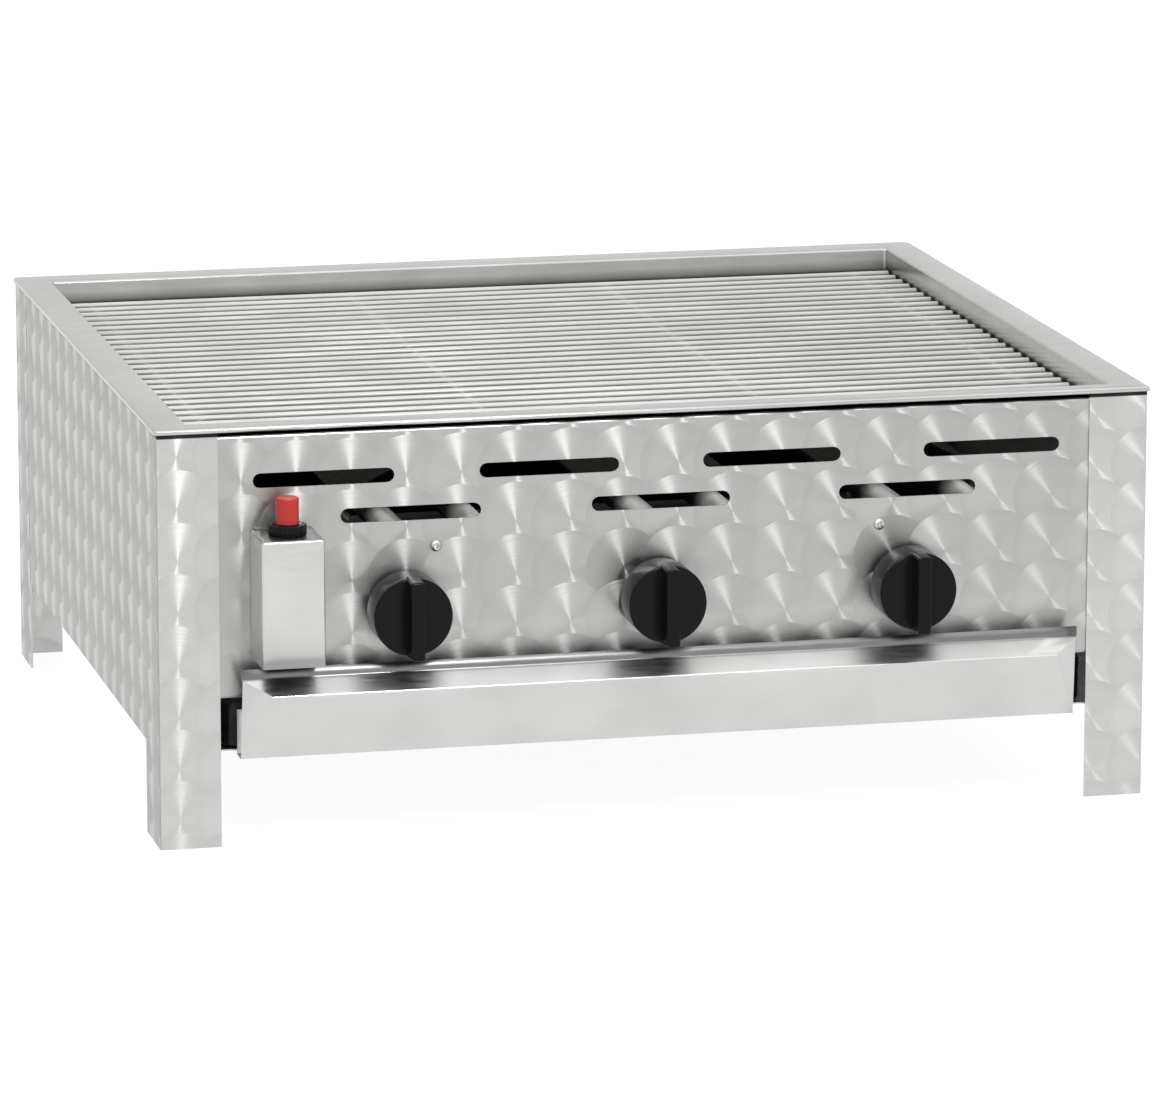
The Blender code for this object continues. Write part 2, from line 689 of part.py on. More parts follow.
def gas_rail():
    """The square rail behind the taps, the pipe from its left end to the rear and the inlet nipple."""
    near = FRONT + TAP_SETBACK + TAP_LENGTH + FIT
    half = RAIL_SIZE / 2
    middle_y = near + half
    rail = box(
        "gas_rail",
        (RAIL_LEFT, near, TAP_Z - half),
        (RAIL_RIGHT, near + RAIL_SIZE, TAP_Z + half),
        SATIN_STEEL,
    )
    bore = (RAIL_LEFT - half, RAIL_RIGHT - half)
    drill(rail, RAIL_BORE, (0, middle_y, TAP_Z), ALONG_X, bore)
    wall_y = REAR - SHEET * 2 - FIT
    nipple_inside = wall_y - RAIL_SIZE
    route = [
        (RAIL_LEFT + half, middle_y, TAP_Z),
        (PIPE_X, middle_y, TAP_Z),
        (PIPE_X, nipple_inside - FIT, TAP_Z),
    ]
    tube("gas_pipe", [rounded(route, PIPE_RADIUS * 3, 4)], PIPE_RADIUS, BRASS)
    tip = REAR + NIPPLE_REACH
    collar = REAR + FIT
    profile = [
        (PIPE_RADIUS * 0.6, -nipple_inside),
        (NIPPLE_RADIUS, -nipple_inside),
        (NIPPLE_RADIUS, -collar),
        (NIPPLE_HEX, -collar),
        (NIPPLE_HEX, -collar - RAIL_SIZE),
        (NIPPLE_RADIUS, -collar - RAIL_SIZE),
        (NIPPLE_RADIUS, -tip),
        (PIPE_RADIUS * 0.6, -tip),
    ]
    turned("gas_inlet_nipple", profile, (PIPE_X, 0, TAP_Z), TO_FRONT, BRASS, ring=True)


def rail_brackets():
    """An angle from the control panel to the top of the rail, with its screw, at each side."""
    front = PANEL_Y + SHEET + FIT
    shelf = TAP_Z + RAIL_SIZE / 2 + FIT
    rear = FRONT + TAP_SETBACK + TAP_LENGTH + RAIL_SIZE
    profile = [(front, SCREW_Z + BRACKET_WIDTH), (front, shelf), (rear, shelf)]
    for side, word in ((-1, "left"), (1, "right")):
        x = side * BRACKET_X
        run = (x - BRACKET_WIDTH / 2, x + BRACKET_WIDTH / 2)
        angle = folded_sheet("rail_bracket_" + word, profile, run, ALONG_X, SATIN_STEEL)
        drill(angle, SCREW_RADIUS + FIT, (x, front, SCREW_Z), TO_FRONT, sides=12)
        screw("panel_screw_" + word, (x, PANEL_Y - FIT, SCREW_Z))


def screw(name, place, parent=None):
    """A pan-head screw whose head's underside is at its place, pointing back into the grill."""
    profile = [
        (0, SCREW_HEAD * 0.55),
        (SCREW_HEAD * 0.6, SCREW_HEAD * 0.5),
        (SCREW_HEAD, SCREW_HEAD * 0.15),
        (SCREW_HEAD, 0),
        (SCREW_RADIUS, 0),
        (SCREW_RADIUS, -SCREW_RADIUS * 5),
        (0, -SCREW_RADIUS * 5),
    ]
    turned(name, profile, place, TO_FRONT, SATIN_STEEL, parent, steps=12)


def igniter():
    """The push-button igniter in its sheet cover, its lead through the panel and its electrode."""
    half = BOX_WIDTH / 2
    y = FRONT - BOX_DEPTH / 2
    neck = BUTTON_RADIUS + FIT + NECK_WALL
    cover = open_box(
        "igniter_box",
        (BOX_X - half, FRONT - BOX_DEPTH, BOX_BOTTOM),
        (BOX_X + half, PANEL_Y - FIT, BOX_TOP),
        ((0, 0, -1), (0, 1, 0)),
        SHEET,
        SATIN_STEEL,
    )
    drill(cover, neck + FIT, (BOX_X, y, BOX_TOP), UP, sides=20)
    under = BOX_TOP - SHEET - FIT
    base = BOX_BOTTOM + LEAD_DROP * 2
    neck_top = BOX_TOP + FIT + NUT_HEIGHT + FIT
    floor = base + LEAD_DROP * 4
    bore = BUTTON_RADIUS + FIT
    profile = [
        (0, floor),
        (bore, floor),
        (bore, neck_top),
        (neck, neck_top),
        (neck, under),
        (neck + NECK_WALL, under),
        (neck + NECK_WALL, base),
        (0, base),
    ]
    turned("igniter_body", profile, (BOX_X, y, 0), UP, BLACK_PLASTIC)
    nut = [
        (neck + FIT, BOX_TOP + FIT + NUT_HEIGHT),
        (NUT_RADIUS, BOX_TOP + FIT + NUT_HEIGHT),
        (NUT_RADIUS, BOX_TOP + FIT),
        (neck + FIT, BOX_TOP + FIT),
    ]
    turned("igniter_nut", nut, (BOX_X, y, 0), UP, BLACK_PLASTIC, ring=True)
    press = joint_empty("igniter_press", (BOX_X, y, BUTTON_TOP))
    foot = floor + BUTTON_TRAVEL * 2
    rod("igniter_button", BUTTON_RADIUS, (foot, BUTTON_TOP), (BOX_X, y, 0), UP, RED_PLASTIC, press)

    level = BOX_BOTTOM + LEAD_DROP
    beside = BURNER_XS[0] - BURNER_RADIUS - CERAMIC_RADIUS * 2.5
    behind = FRONT + TAP_SETBACK + TAP_LENGTH + RAIL_SIZE + LEAD_RADIUS * 5
    spark_z = SUPPORT_TOP + FIT + CERAMIC_RADIUS
    spark_front = behind + LEAD_RADIUS * 3
    route = [
        (BOX_X, y, base - FIT),
        (BOX_X, y, level),
        (BOX_X, FRONT + TAP_SETBACK, level),
        (beside, FRONT + TAP_SETBACK * 2, level),
        (beside, behind, level),
        (beside, behind, spark_z),
        (beside, spark_front - FIT, spark_z),
    ]
    tube("ignition_lead", [rounded(route, LEAD_RADIUS * 2, 2)], LEAD_RADIUS, LEAD_RUBBER, detail=1)
    rear = FRONT + SUPPORT_SETBACK + SUPPORT_RETURN * 1.5
    electrode = [
        (0, -spark_front),
        (CERAMIC_RADIUS, -spark_front),
        (CERAMIC_RADIUS, -rear),
        (CERAMIC_RADIUS / 3, -rear),
        (CERAMIC_RADIUS / 3, -rear - SUPPORT_RETURN),
        (0, -rear - SUPPORT_RETURN),
    ]
    turned("igniter_electrode", electrode, (beside, 0, spark_z), TO_FRONT, CERAMIC, steps=12)


def drip_pan():
    """The enamelled pan with its folded steel front, which slides out on two runners.

    The front is a channel: a flange on the pan, a bottom, a face that leans forward, a sloping top whose
    ends are closed by gussets, and an upright lip."""
    slide = joint_empty("pan_slide", (0, FRONT, PAN_BOTTOM))
    front = PANEL_Y + SHEET + FIT * 2
    pan = open_box(
        "drip_pan",
        (-PAN_HALF, front, PAN_BOTTOM),
        (PAN_HALF, REAR - PAN_REAR_GAP, PAN_BOTTOM + PAN_HEIGHT),
        ((0, 0, 1),),
        PAN_SHEET,
        BLACK_ENAMEL,
        slide,
    )
    flange = front - FIT
    stations = (
        (FRONT_HALF, flange, FRONT_FLANGE_TOP),
        (FRONT_HALF, flange, FRONT_BOTTOM_Z),
        (FRONT_HALF, FRONT - FRONT_BOTTOM_REACH, FRONT_BOTTOM_Z),
        (FRONT_FOLD_HALF, FRONT - FRONT_FOLD_REACH, FRONT_FOLD_Z),
        (FRONT_HALF, FRONT - FRONT_HEM_REACH, FRONT_HEM_Z),
        (FRONT_HALF, FRONT - FRONT_HEM_REACH, FRONT_LIP_Z),
    )

    def build(bm):
        left = [bm.verts.new((-half, y, z)) for half, y, z in stations]
        right = [bm.verts.new((half, y, z)) for half, y, z in stations]
        for i in range(len(stations) - 1):
            bm.faces.new((left[i], right[i], right[i + 1], left[i + 1]))
        bottom, fold, hem = 2, 3, 4
        bm.faces.new((right[bottom], right[hem], right[fold]))
        bm.faces.new((left[bottom], left[fold], left[hem]))

    face = add_part("drip_pan_front", mesh_from("drip_pan_front", build), SATIN_STEEL, slide)
    add_wall(face, SHEET)
    for side, word in ((-1, "left"), (1, "right")):
        x = side * PAN_SCREW_X
        for piece in (face, pan):
            drill(piece, SCREW_RADIUS + FIT, (x, flange, PAN_SCREW_Z), TO_FRONT, (-0.005, 0.005), 12)
        screw("pan_screw_" + word, (x, flange - SHEET - FIT, PAN_SCREW_Z), slide)


def pan_runners():
    ledge_top = PAN_BOTTOM - FIT
    bottom = ledge_top - SHEET
    rear_wall_edge = REAR - SHEET - FIT - REAR_WALL_RETURN
    run = (-(rear_wall_edge - FIT), -(PANEL_Y + SHEET + FIT * 2))
    for side, word in ((-1, "left"), (1, "right")):
        profile = [
            (side * (PAN_HALF - RUNNER_LEDGE), bottom),
            (side * INNER_X, bottom),
            (side * INNER_X, bottom + RUNNER_HEIGHT),
        ]
        folded_sheet("pan_runner_" + word, profile[::side], run, TO_FRONT, SATIN_STEEL)


side_walls()
front_panel()
rear_panel()
top_frame()
cooking_grate()
burner_supports()
gas_rail()
rail_brackets()
for burner_x, burner_word in zip(BURNER_XS, BURNER_NAMES):
    burner(burner_x, burner_word)
    flame_cover(burner_x, burner_word)
    gas_tap(burner_x, burner_word)
    thermocouple(burner_x, burner_word)
igniter()
drip_pan()
pan_runners()
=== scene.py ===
import math

import bmesh
import bpy
import numpy as np
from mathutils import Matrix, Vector


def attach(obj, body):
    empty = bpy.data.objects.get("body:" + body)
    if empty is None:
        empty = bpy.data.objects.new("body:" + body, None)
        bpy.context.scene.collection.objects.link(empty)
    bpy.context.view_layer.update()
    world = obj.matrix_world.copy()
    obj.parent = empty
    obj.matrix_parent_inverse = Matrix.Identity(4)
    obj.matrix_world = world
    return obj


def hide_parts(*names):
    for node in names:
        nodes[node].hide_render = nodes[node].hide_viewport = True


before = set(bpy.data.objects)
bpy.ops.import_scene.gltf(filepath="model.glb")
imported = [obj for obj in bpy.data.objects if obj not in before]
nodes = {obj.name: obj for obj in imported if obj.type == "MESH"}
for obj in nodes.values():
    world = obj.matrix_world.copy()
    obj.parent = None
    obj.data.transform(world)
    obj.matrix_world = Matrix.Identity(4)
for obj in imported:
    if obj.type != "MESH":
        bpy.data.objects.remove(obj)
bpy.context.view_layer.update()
print("frame loaded,", len(nodes), "nodes")

look = {
    "turnedPitch": (36.0, 34.0),  # mm between disc centres, across and up
    "turnedDisc": 26.0,  # mm, radius of a disc
    "turnedRough": 0.32,
    "turnedStretch": 0.90,
    "frontDisc": (-95.0, 205.0),  # mm, the centre of one disc on each face
    "legDisc": (-317.0, 189.0),
    "sideDisc": (-263.0, 189.0),
    "scratchScale": 1300.0,
    "scratchShade": (0.93, 1.05),  # factors on the tone, from the darkest to the lightest
    "discShade": (0.96, 1.03),
    "borderStart": 0.70,  # share of a disc's radius where its border begins to darken
    "borderShade": 0.94,
    "blotchSize": 60.0,
    "blotchShade": (0.90, 1.06),
    "metalBump": 0.00002,
    "scratchBump": 0.00003,
    "frontTone": "b9b9b7",
    # legs lighter and sides darker than the front: painted light and painted shade on the same steel
    "legPaintedLightTone": "c9c9c7",
    "sidePaintedShadeTone": "a9a9a7",
    "satinTone": "cececd",
    "rimTone": "c0c0be",
    "barTone": "c6c6c4",
    "tubeTone": "e4e3e0",
    "coverShadeTone": "12110f",
    "enamelTone": "0b0b0c",
    "phenolicTone": "0d0d0e",
    "redTone": "a01a14",
    "brassTone": "c9a86a",
    "ceramicTone": "57524a",
    "siliconeTone": "1c1c1d",
    "paintedShadeBlackTone": "050505",
}

# painted shade, where a tone fades: the object axis, two levels on it in mm, and the factor at each
paintedShades = {
    # painted shade: the front panel's top edge, dark in the gap under the rim
    "front": ("Z", 267.9, 268.6, 1.0, 0.03),
    # painted shade: the legs' top edge under the rim's lip
    "leg": ("Z", 268.9, 269.6, 1.0, 0.04),
    # painted shade: the side panels' top edge under the rim's lip
    "side": ("Z", 269.8, 270.4, 1.0, 0.25),
    # painted shade: the drip pan's hem in the shadow of the panel
    "hem": ("Z", 111.8, 113.2, 1.0, 0.36),
    # painted shade: the igniter's lid
    "lid": ("Z", 206.8, 207.8, 1.0, 0.42),
    # painted shade: the rim's well, darker towards its foot
    "rim": ("Z", 257.2, 267.5, 0.10, 1.0),
    # painted shade: the burner tubes, near-black further back inside the casing
    "tube": ("Y", -234.0, -208.0, 1.0, 0.05),
}


# an sRGB hex colour as linear red, green, blue, alpha
def linear(code):
    parts = [int(code[k : k + 2], 16) / 255 for k in (0, 2, 4)]
    return tuple(p / 12.92 if p <= 0.04045 else ((p + 0.055) / 1.055) ** 2.4 for p in parts) + (1.0,)


# one shader node with its settings, and its inputs either linked or set
def addNode(tree, kind, inputs=None, **settings):
    made = tree.nodes.new(kind)
    for key, value in settings.items():
        setattr(made, key, value)
    for key, value in (inputs or {}).items():
        if isinstance(value, bpy.types.NodeSocket):
            tree.links.new(value, made.inputs[key])
        else:
            made.inputs[key].default_value = value
    return made


# a new material with its node tree and its shader
def startMaterial(name):
    material = bpy.data.materials.new(name)
    material.use_nodes = True
    tree = material.node_tree
    return material, tree, tree.nodes["Principled BSDF"]


# blotches, fine grain or long grain from noise in object space; stretch is per axis, size in mm
def grain(tree, size, stretch=(1, 1, 1), detail=3.0):
    where = addNode(tree, "ShaderNodeTexCoord").outputs["Object"]
    scaled = addNode(tree, "ShaderNodeMapping", {"Vector": where, "Scale": stretch})
    noise = addNode(
        tree,
        "ShaderNodeTexNoise",
        {"Vector": scaled.outputs["Vector"], "Scale": 1000 / size, "Detail": detail},
    )
    return noise.outputs["Fac"]


# the middle half of a noise value, widened to run from low to high
def spread(tree, value, low, high):
    return addNode(
        tree,
        "ShaderNodeMapRange",
        {"Value": value, "From Min": 0.25, "From Max": 0.75, "To Min": low, "To Max": high},
    ).outputs["Result"]


# a factor that runs between two values while one object axis runs between two levels in mm
def fading(tree, axis, low, high, start, end):
    where = addNode(tree, "ShaderNodeTexCoord").outputs["Object"]
    level = addNode(tree, "ShaderNodeSeparateXYZ", {"Vector": where}).outputs[axis]
    return addNode(
        tree,
        "ShaderNodeMapRange",
        {"Value": level, "From Min": low / 1000, "From Max": high / 1000, "To Min": start, "To Max": end},
    ).outputs["Result"]


# the product of two values
def timesValue(tree, one, two):
    return addNode(tree, "ShaderNodeMath", {0: one, 1: two}, operation="MULTIPLY").outputs[0]


# relief from a value that runs from 0 to 1, its depth in metres
def bumped(tree, shader, height, depth, strength):
    bump = addNode(
        tree, "ShaderNodeBump", {"Height": height, "Distance": depth, "Strength": strength}
    )
    tree.links.new(bump.outputs["Normal"], shader.inputs["Normal"])


# brushed or satin metal: grain along one axis turns the reflections into soft bands
def brushedMetal(name, tone, rough, grainSize, stretch, fade=None, metal=1.0):
    material, tree, shader = startMaterial(name)
    fine = grain(tree, grainSize, stretch)
    shade = spread(tree, grain(tree, look["blotchSize"], (1, 1, 1), 2.0), *look["blotchShade"])
    # painted shade: where a fade is given, the tone darkens along one axis
    if fade:
        shade = timesValue(tree, shade, fading(tree, *fade))
    painted = addNode(
        tree, "ShaderNodeVectorMath", {0: linear(tone)[:3], "Scale": shade}, operation="SCALE"
    )
    tree.links.new(painted.outputs["Vector"], shader.inputs["Base Color"])
    tree.links.new(spread(tree, fine, rough * 0.8, rough * 1.25), shader.inputs["Roughness"])
    shader.inputs["Metallic"].default_value = metal
    bumped(tree, shader, fine, look["metalBump"], 0.6)
    return material


# engine turning: overlapping discs of circular scratches, so each disc shines in a bow tie
# plane names the two object axes that the sheet lies in, and start the place of one disc's centre in mm
def turnedMetal(name, tone, plane, start, fade=None):
    material, tree, shader = startMaterial(name)
    pitch = [value / 1000 for value in look["turnedPitch"]]
    where = addNode(tree, "ShaderNodeTexCoord").outputs["Object"]
    split = addNode(tree, "ShaderNodeSeparateXYZ", {"Vector": where})
    flat = addNode(
        tree,
        "ShaderNodeCombineXYZ",
        {"X": split.outputs[plane[0]], "Y": split.outputs[plane[1]]},
    )
    offset = [0.5 - at / step for at, step in zip(start, look["turnedPitch"])] + [0]
    scaled = addNode(
        tree,
        "ShaderNodeVectorMath",
        {0: flat.outputs["Vector"], 1: (1 / pitch[0], 1 / pitch[1], 1), 2: tuple(offset)},
        operation="MULTIPLY_ADD",
    ).outputs["Vector"]
    cell = addNode(tree, "ShaderNodeVectorMath", {0: scaled}, operation="FLOOR").outputs["Vector"]
    inside = addNode(
        tree, "ShaderNodeVectorMath", {0: scaled, 1: cell}, operation="SUBTRACT"
    ).outputs["Vector"]
    reach = look["turnedDisc"] / 1000
    arm, number = None, None
    # the cell's own disc first, then those pressed after it, which cover it
    for step in ((0, 0), (1, 0), (-1, -1), (0, -1), (1, -1)):
        centre = (0.5 + step[0], 0.5 + step[1], 0)
        apart = addNode(
            tree, "ShaderNodeVectorMath", {0: inside, 1: centre}, operation="SUBTRACT"
        ).outputs["Vector"]
        away = addNode(
            tree, "ShaderNodeVectorMath", {0: apart, 1: (pitch[0], pitch[1], 0)}, operation="MULTIPLY"
        ).outputs["Vector"]
        tag = addNode(
            tree, "ShaderNodeVectorMath", {0: cell, 1: (step[0], step[1], 0)}, operation="ADD"
        ).outputs["Vector"]
        if arm is None:
            arm, number = away, tag
            continue
        far = addNode(tree, "ShaderNodeVectorMath", {0: away}, operation="LENGTH").outputs["Value"]
        covers = addNode(tree, "ShaderNodeMath", {0: far, 1: reach}, operation="LESS_THAN").outputs[0]
        arm = addNode(
            tree, "ShaderNodeMix", {0: covers, 4: arm, 5: away}, data_type="VECTOR"
        ).outputs[1]
        number = addNode(
            tree, "ShaderNodeMix", {0: covers, 4: number, 5: tag}, data_type="VECTOR"
        ).outputs[1]
    parts = addNode(tree, "ShaderNodeSeparateXYZ", {"Vector": arm})
    turned = {"X": 0.0, "Y": 0.0, "Z": 0.0}
    turned[plane[0]] = parts.outputs["X"]
    turned[plane[1]] = parts.outputs["Y"]
    along = addNode(tree, "ShaderNodeCombineXYZ", turned)
    aim = addNode(
        tree, "ShaderNodeVectorMath", {0: along.outputs["Vector"]}, operation="NORMALIZE"
    )
    tree.links.new(aim.outputs["Vector"], shader.inputs["Tangent"])
    radius = addNode(tree, "ShaderNodeVectorMath", {0: arm}, operation="LENGTH").outputs["Value"]
    chance = addNode(tree, "ShaderNodeTexWhiteNoise", {"Vector": number}, noise_dimensions="3D")
    # scratches: noise over the radius, a different set for each disc
    ring = addNode(
        tree,
        "ShaderNodeMath",
        {0: chance.outputs["Value"], 1: 40.0, 2: radius},
        operation="MULTIPLY_ADD",
    ).outputs[0]
    scratch = addNode(
        tree,
        "ShaderNodeTexNoise",
        {"W": ring, "Scale": look["scratchScale"], "Detail": 3.0},
        noise_dimensions="1D",
    ).outputs["Fac"]
    rough = addNode(
        tree,
        "ShaderNodeMapRange",
        {
            "Value": scratch,
            "From Min": 0.3,
            "From Max": 0.7,
            "To Min": look["turnedRough"] * 0.86,
            "To Max": look["turnedRough"] * 1.14,
        },
    ).outputs["Result"]
    tree.links.new(rough, shader.inputs["Roughness"])
    # each disc is a little lighter or darker, and its border a little darker
    marked = spread(tree, scratch, *look["scratchShade"])
    darkest, lightest = look["discShade"]
    own = addNode(
        tree,
        "ShaderNodeMapRange",
        {"Value": chance.outputs["Value"], "To Min": darkest, "To Max": lightest},
    ).outputs["Result"]
    edge = addNode(
        tree,
        "ShaderNodeMapRange",
        {
            "Value": radius,
            "From Min": reach * look["borderStart"],
            "From Max": reach,
            "To Min": 1.0,
            "To Max": look["borderShade"],
        },
    ).outputs["Result"]
    shade = timesValue(tree, timesValue(tree, marked, own), edge)
    # painted shade: where a fade is given, the tone darkens along one axis
    if fade:
        shade = timesValue(tree, shade, fading(tree, *fade))
    painted = addNode(
        tree, "ShaderNodeVectorMath", {0: linear(tone)[:3], "Scale": shade}, operation="SCALE"
    )
    tree.links.new(painted.outputs["Vector"], shader.inputs["Base Color"])
    shader.inputs["Metallic"].default_value = 1.0
    shader.inputs["Anisotropic"].default_value = look["turnedStretch"]
    bumped(tree, shader, scratch, look["scratchBump"], 0.5)
    return material


# enamel, plastic, ceramic, rubber and painted shade: faint mottling in colour, gloss and surface
def coated(name, tone, rough, size, depth, coat=0.0, gloss=0.5):
    material, tree, shader = startMaterial(name)
    mottle = grain(tree, size)
    low = tuple(c * 0.8 for c in linear(tone)[:3]) + (1.0,)
    high = tuple(min(1.0, c * 1.15 + 0.0003) for c in linear(tone)[:3]) + (1.0,)
    colour = addNode(
        tree, "ShaderNodeMix", {0: mottle, 6: low, 7: high}, data_type="RGBA"
    ).outputs[2]
    tree.links.new(colour, shader.inputs["Base Color"])
    tree.links.new(spread(tree, mottle, rough * 0.85, rough * 1.2), shader.inputs["Roughness"])
    shader.inputs["Coat Weight"].default_value = coat
    shader.inputs["Specular IOR Level"].default_value = gloss
    bumped(tree, shader, mottle, depth, 0.5)
    return material


# engine-turned stainless sheet: bow ties of light that lean as the panel runs away from the lamp,
# with painted shade along the top edge, where it turns into the gap under the rim
turnedFrontTopShaded = turnedMetal(
    "steel_turned_front_painted_top_shade", look["frontTone"], ("X", "Z"), look["frontDisc"], paintedShades["front"]
)
# the legs' faces: a lighter copy of the same sheet as painted light, with painted shade under the rim's lip
turnedLegPaintedLight = turnedMetal(
    "steel_turned_leg_face_painted_light", look["legPaintedLightTone"], ("X", "Z"), look["legDisc"], paintedShades["leg"]
)
# the side panels' outward faces: a darker copy of the same sheet as painted shade, and painted shade under
# the rim's lip
turnedSidePaintedShade = turnedMetal(
    "steel_turned_side_painted_shade", look["sidePaintedShadeTone"], ("Y", "Z"), look["sideDisc"], paintedShades["side"]
)
# satin stainless sheet: soft broad reflections with faint long grain
satinSteel = brushedMetal("steel_satin", look["satinTone"], 0.34, 3.0, (0.15, 1, 1))
# the same sheet with painted shade on its hem, where it stands in the shadow of the panel
hemShadedSteel = brushedMetal(
    "steel_satin_hem_painted_shade", look["satinTone"], 0.34, 3.0, (0.15, 1, 1), paintedShades["hem"]
)
# the same sheet on the igniter, with painted shade darkening its lid
lidShadedSteel = brushedMetal(
    "steel_satin_lid_painted_shade", look["satinTone"], 0.34, 3.0, (0.15, 1, 1), paintedShades["lid"]
)
# polished rim: clear reflections, with painted shade darkening it towards the foot of the well
rimFootShadedSteel = brushedMetal(
    "steel_rim_polished_painted_shade", look["rimTone"], 0.22, 4.0, (0.1, 1, 1), paintedShades["rim"]
)
# drawn round bar: bright along the top, with no sharp reflection
barSteel = brushedMetal("steel_bar_bright", look["barTone"], 0.55, 6.0, (0.1, 1, 1), None, 0.5)
# aluminised tube: pale and half dull at its mouth, with painted shade darkening it to near-black further
# back
tubeShadedSteel = brushedMetal(
    "steel_aluminised_tube_painted_shade", look["tubeTone"], 0.35, 8.0, (1, 0.15, 1), paintedShades["tube"], 0.75
)
# turned brass fittings: warm and shiny
brass = brushedMetal("brass_turned", look["brassTone"], 0.30, 5.0, (1, 1, 1))
# vitreous enamel: deep black with a wet gloss
enamel = coated("enamel_black", look["enamelTone"], 0.30, 7.0, 0.00006, 0.0, 0.2)
# flame covers: painted shade, a dull near-black for the dark inside of the grill
coverShadeSteel = coated("steel_cover_painted_shade", look["coverShadeTone"], 0.80, 7.0, 0.00006, 0.0, 0.06)
# moulded phenolic: smooth black, dark even where it faces the light
phenolic = coated("phenolic_black", look["phenolicTone"], 0.20, 5.0, 0.000004, 0.0, 0.12)
# moulded red plastic: glossy, under a thin clear coat
redPlastic = coated("plastic_red_button", look["redTone"], 0.30, 5.0, 0.00001, 0.1, 0.4)
# glazed ceramic: grey-brown with small clear reflections
ceramic = coated("ceramic_glazed", look["ceramicTone"], 0.30, 4.0, 0.00002)
# silicone rubber: dull and nearly black
silicone = coated("silicone_lead", look["siliconeTone"], 0.50, 3.0, 0.00002)
# painted shade: black, with no reflection at all, on the inner faces of the rear panel and the rim and in
# the burners' port holes
paintedShadeBlack = coated("paintedShadeBlack", look["paintedShadeBlackTone"], 0.85, 2.0, 0.00002, 0.0, 0.0)

# the finish of each node, by the longest of these that its name starts with
finishes = {
    "front_panel": turnedFrontTopShaded,
    "rear_panel": turnedFrontTopShaded,
    "top_frame": rimFootShadedSteel,
    "cooking_grate": barSteel,
    "burner": tubeShadedSteel,
    "burner_support": satinSteel,
    "gas_rail": satinSteel,
    "rail_bracket": satinSteel,
    "pan_runner": satinSteel,
    "panel_screw": satinSteel,
    "pan_screw": satinSteel,
    "igniter_box": lidShadedSteel,
    "drip_pan_front": hemShadedSteel,
    "drip_pan": enamel,
    "flame_cover": coverShadeSteel,
    "knob": phenolic,
    "igniter_body": phenolic,
    "igniter_nut": phenolic,
    "igniter_button": redPlastic,
    "igniter_electrode": ceramic,
    "ignition_lead": silicone,
    "gas_pipe": brass,
    "gas_inlet_nipple": brass,
    "gas_tap": brass,
    "tap": brass,
    "feed_pipe": brass,
    "injector": brass,
    "thermocouple": brass,
}


leastFacing = 0.7  # cosine of the widest angle between a face and the way it counts as looking


# two finishes on one sheet: the second where its faces look along the given way
def finishTwice(obj, finish, other, way):
    mesh = obj.data
    mesh.materials.clear()
    mesh.materials.append(finish)
    mesh.materials.append(other)
    normals = np.empty(len(mesh.polygons) * 3, np.float32)
    mesh.polygons.foreach_get("normal", normals)
    facing = normals.reshape(-1, 3) @ np.array(way, np.float32) > leastFacing
    mesh.polygons.foreach_set("material_index", facing.astype(np.int32))


for nodeName, obj in nodes.items():
    # side panels and rear legs: the outward faces take the painted-shade copy, the others the painted-light
    # copy
    if nodeName.startswith(("side_panel", "rear_leg")):
        outward = -1 if nodeName.endswith("left") else 1
        finishTwice(obj, turnedLegPaintedLight, turnedSidePaintedShade, (outward, 0, 0))
        continue
    # the rear panel's face that looks into the casing takes painted shade
    if nodeName == "rear_panel":
        finishTwice(obj, turnedFrontTopShaded, paintedShadeBlack, (0, -1, 0))
        continue
    fitting = [key for key in finishes if nodeName.startswith(key)]
    obj.data.materials.clear()
    obj.data.materials.append(finishes[max(fitting, key=len)])
print("materials made")

front = -0.290  # the plane that the knobs' heights are measured from
mergeDistance = 0.000002
sharpAngle = math.radians(38)


# a path with every inner corner turned into an arc: centre + start * cos(a) + side * sin(a)
def roundPath(points, radius, steps=5):
    corners = np.array([tuple(p) + (0,) * (3 - len(p)) for p in points], float)
    rounded = [corners[:1]]
    for before, corner, after in zip(corners, corners[1:], corners[2:]):
        back = (before - corner) / np.linalg.norm(before - corner)
        ahead = (after - corner) / np.linalg.norm(after - corner)
        half = math.acos(np.clip(back @ ahead, -1, 1)) / 2
        middle = back + ahead
        centre = corner + middle / np.linalg.norm(middle) * radius / math.sin(half)
        start = corner + back * radius / math.tan(half) - centre
        end = corner + ahead * radius / math.tan(half) - centre
        sweep = math.pi - 2 * half
        side = (end - start * math.cos(sweep)) / math.sin(sweep)
        turn = np.linspace(0, sweep, steps + 1)[:, None]
        rounded.append(centre + start * np.cos(turn) + side * np.sin(turn))
    rounded.append(corners[-1:])
    return np.concatenate(rounded)


# extra points so that no step of a path is longer than the given length
def densify(path, longest):
    steps = np.linalg.norm(np.diff(path, axis=0), axis=1)
    place = np.concatenate([[0], np.cumsum(steps)])
    count = np.maximum(1, np.ceil(steps / longest).astype(int))
    wanted = np.concatenate(
        [np.linspace(a, b, n, endpoint=False) for a, b, n in zip(place, place[1:], count)] + [place[-1:]]
    )
    return np.stack([np.interp(wanted, place, path[:, k]) for k in range(3)], axis=1)


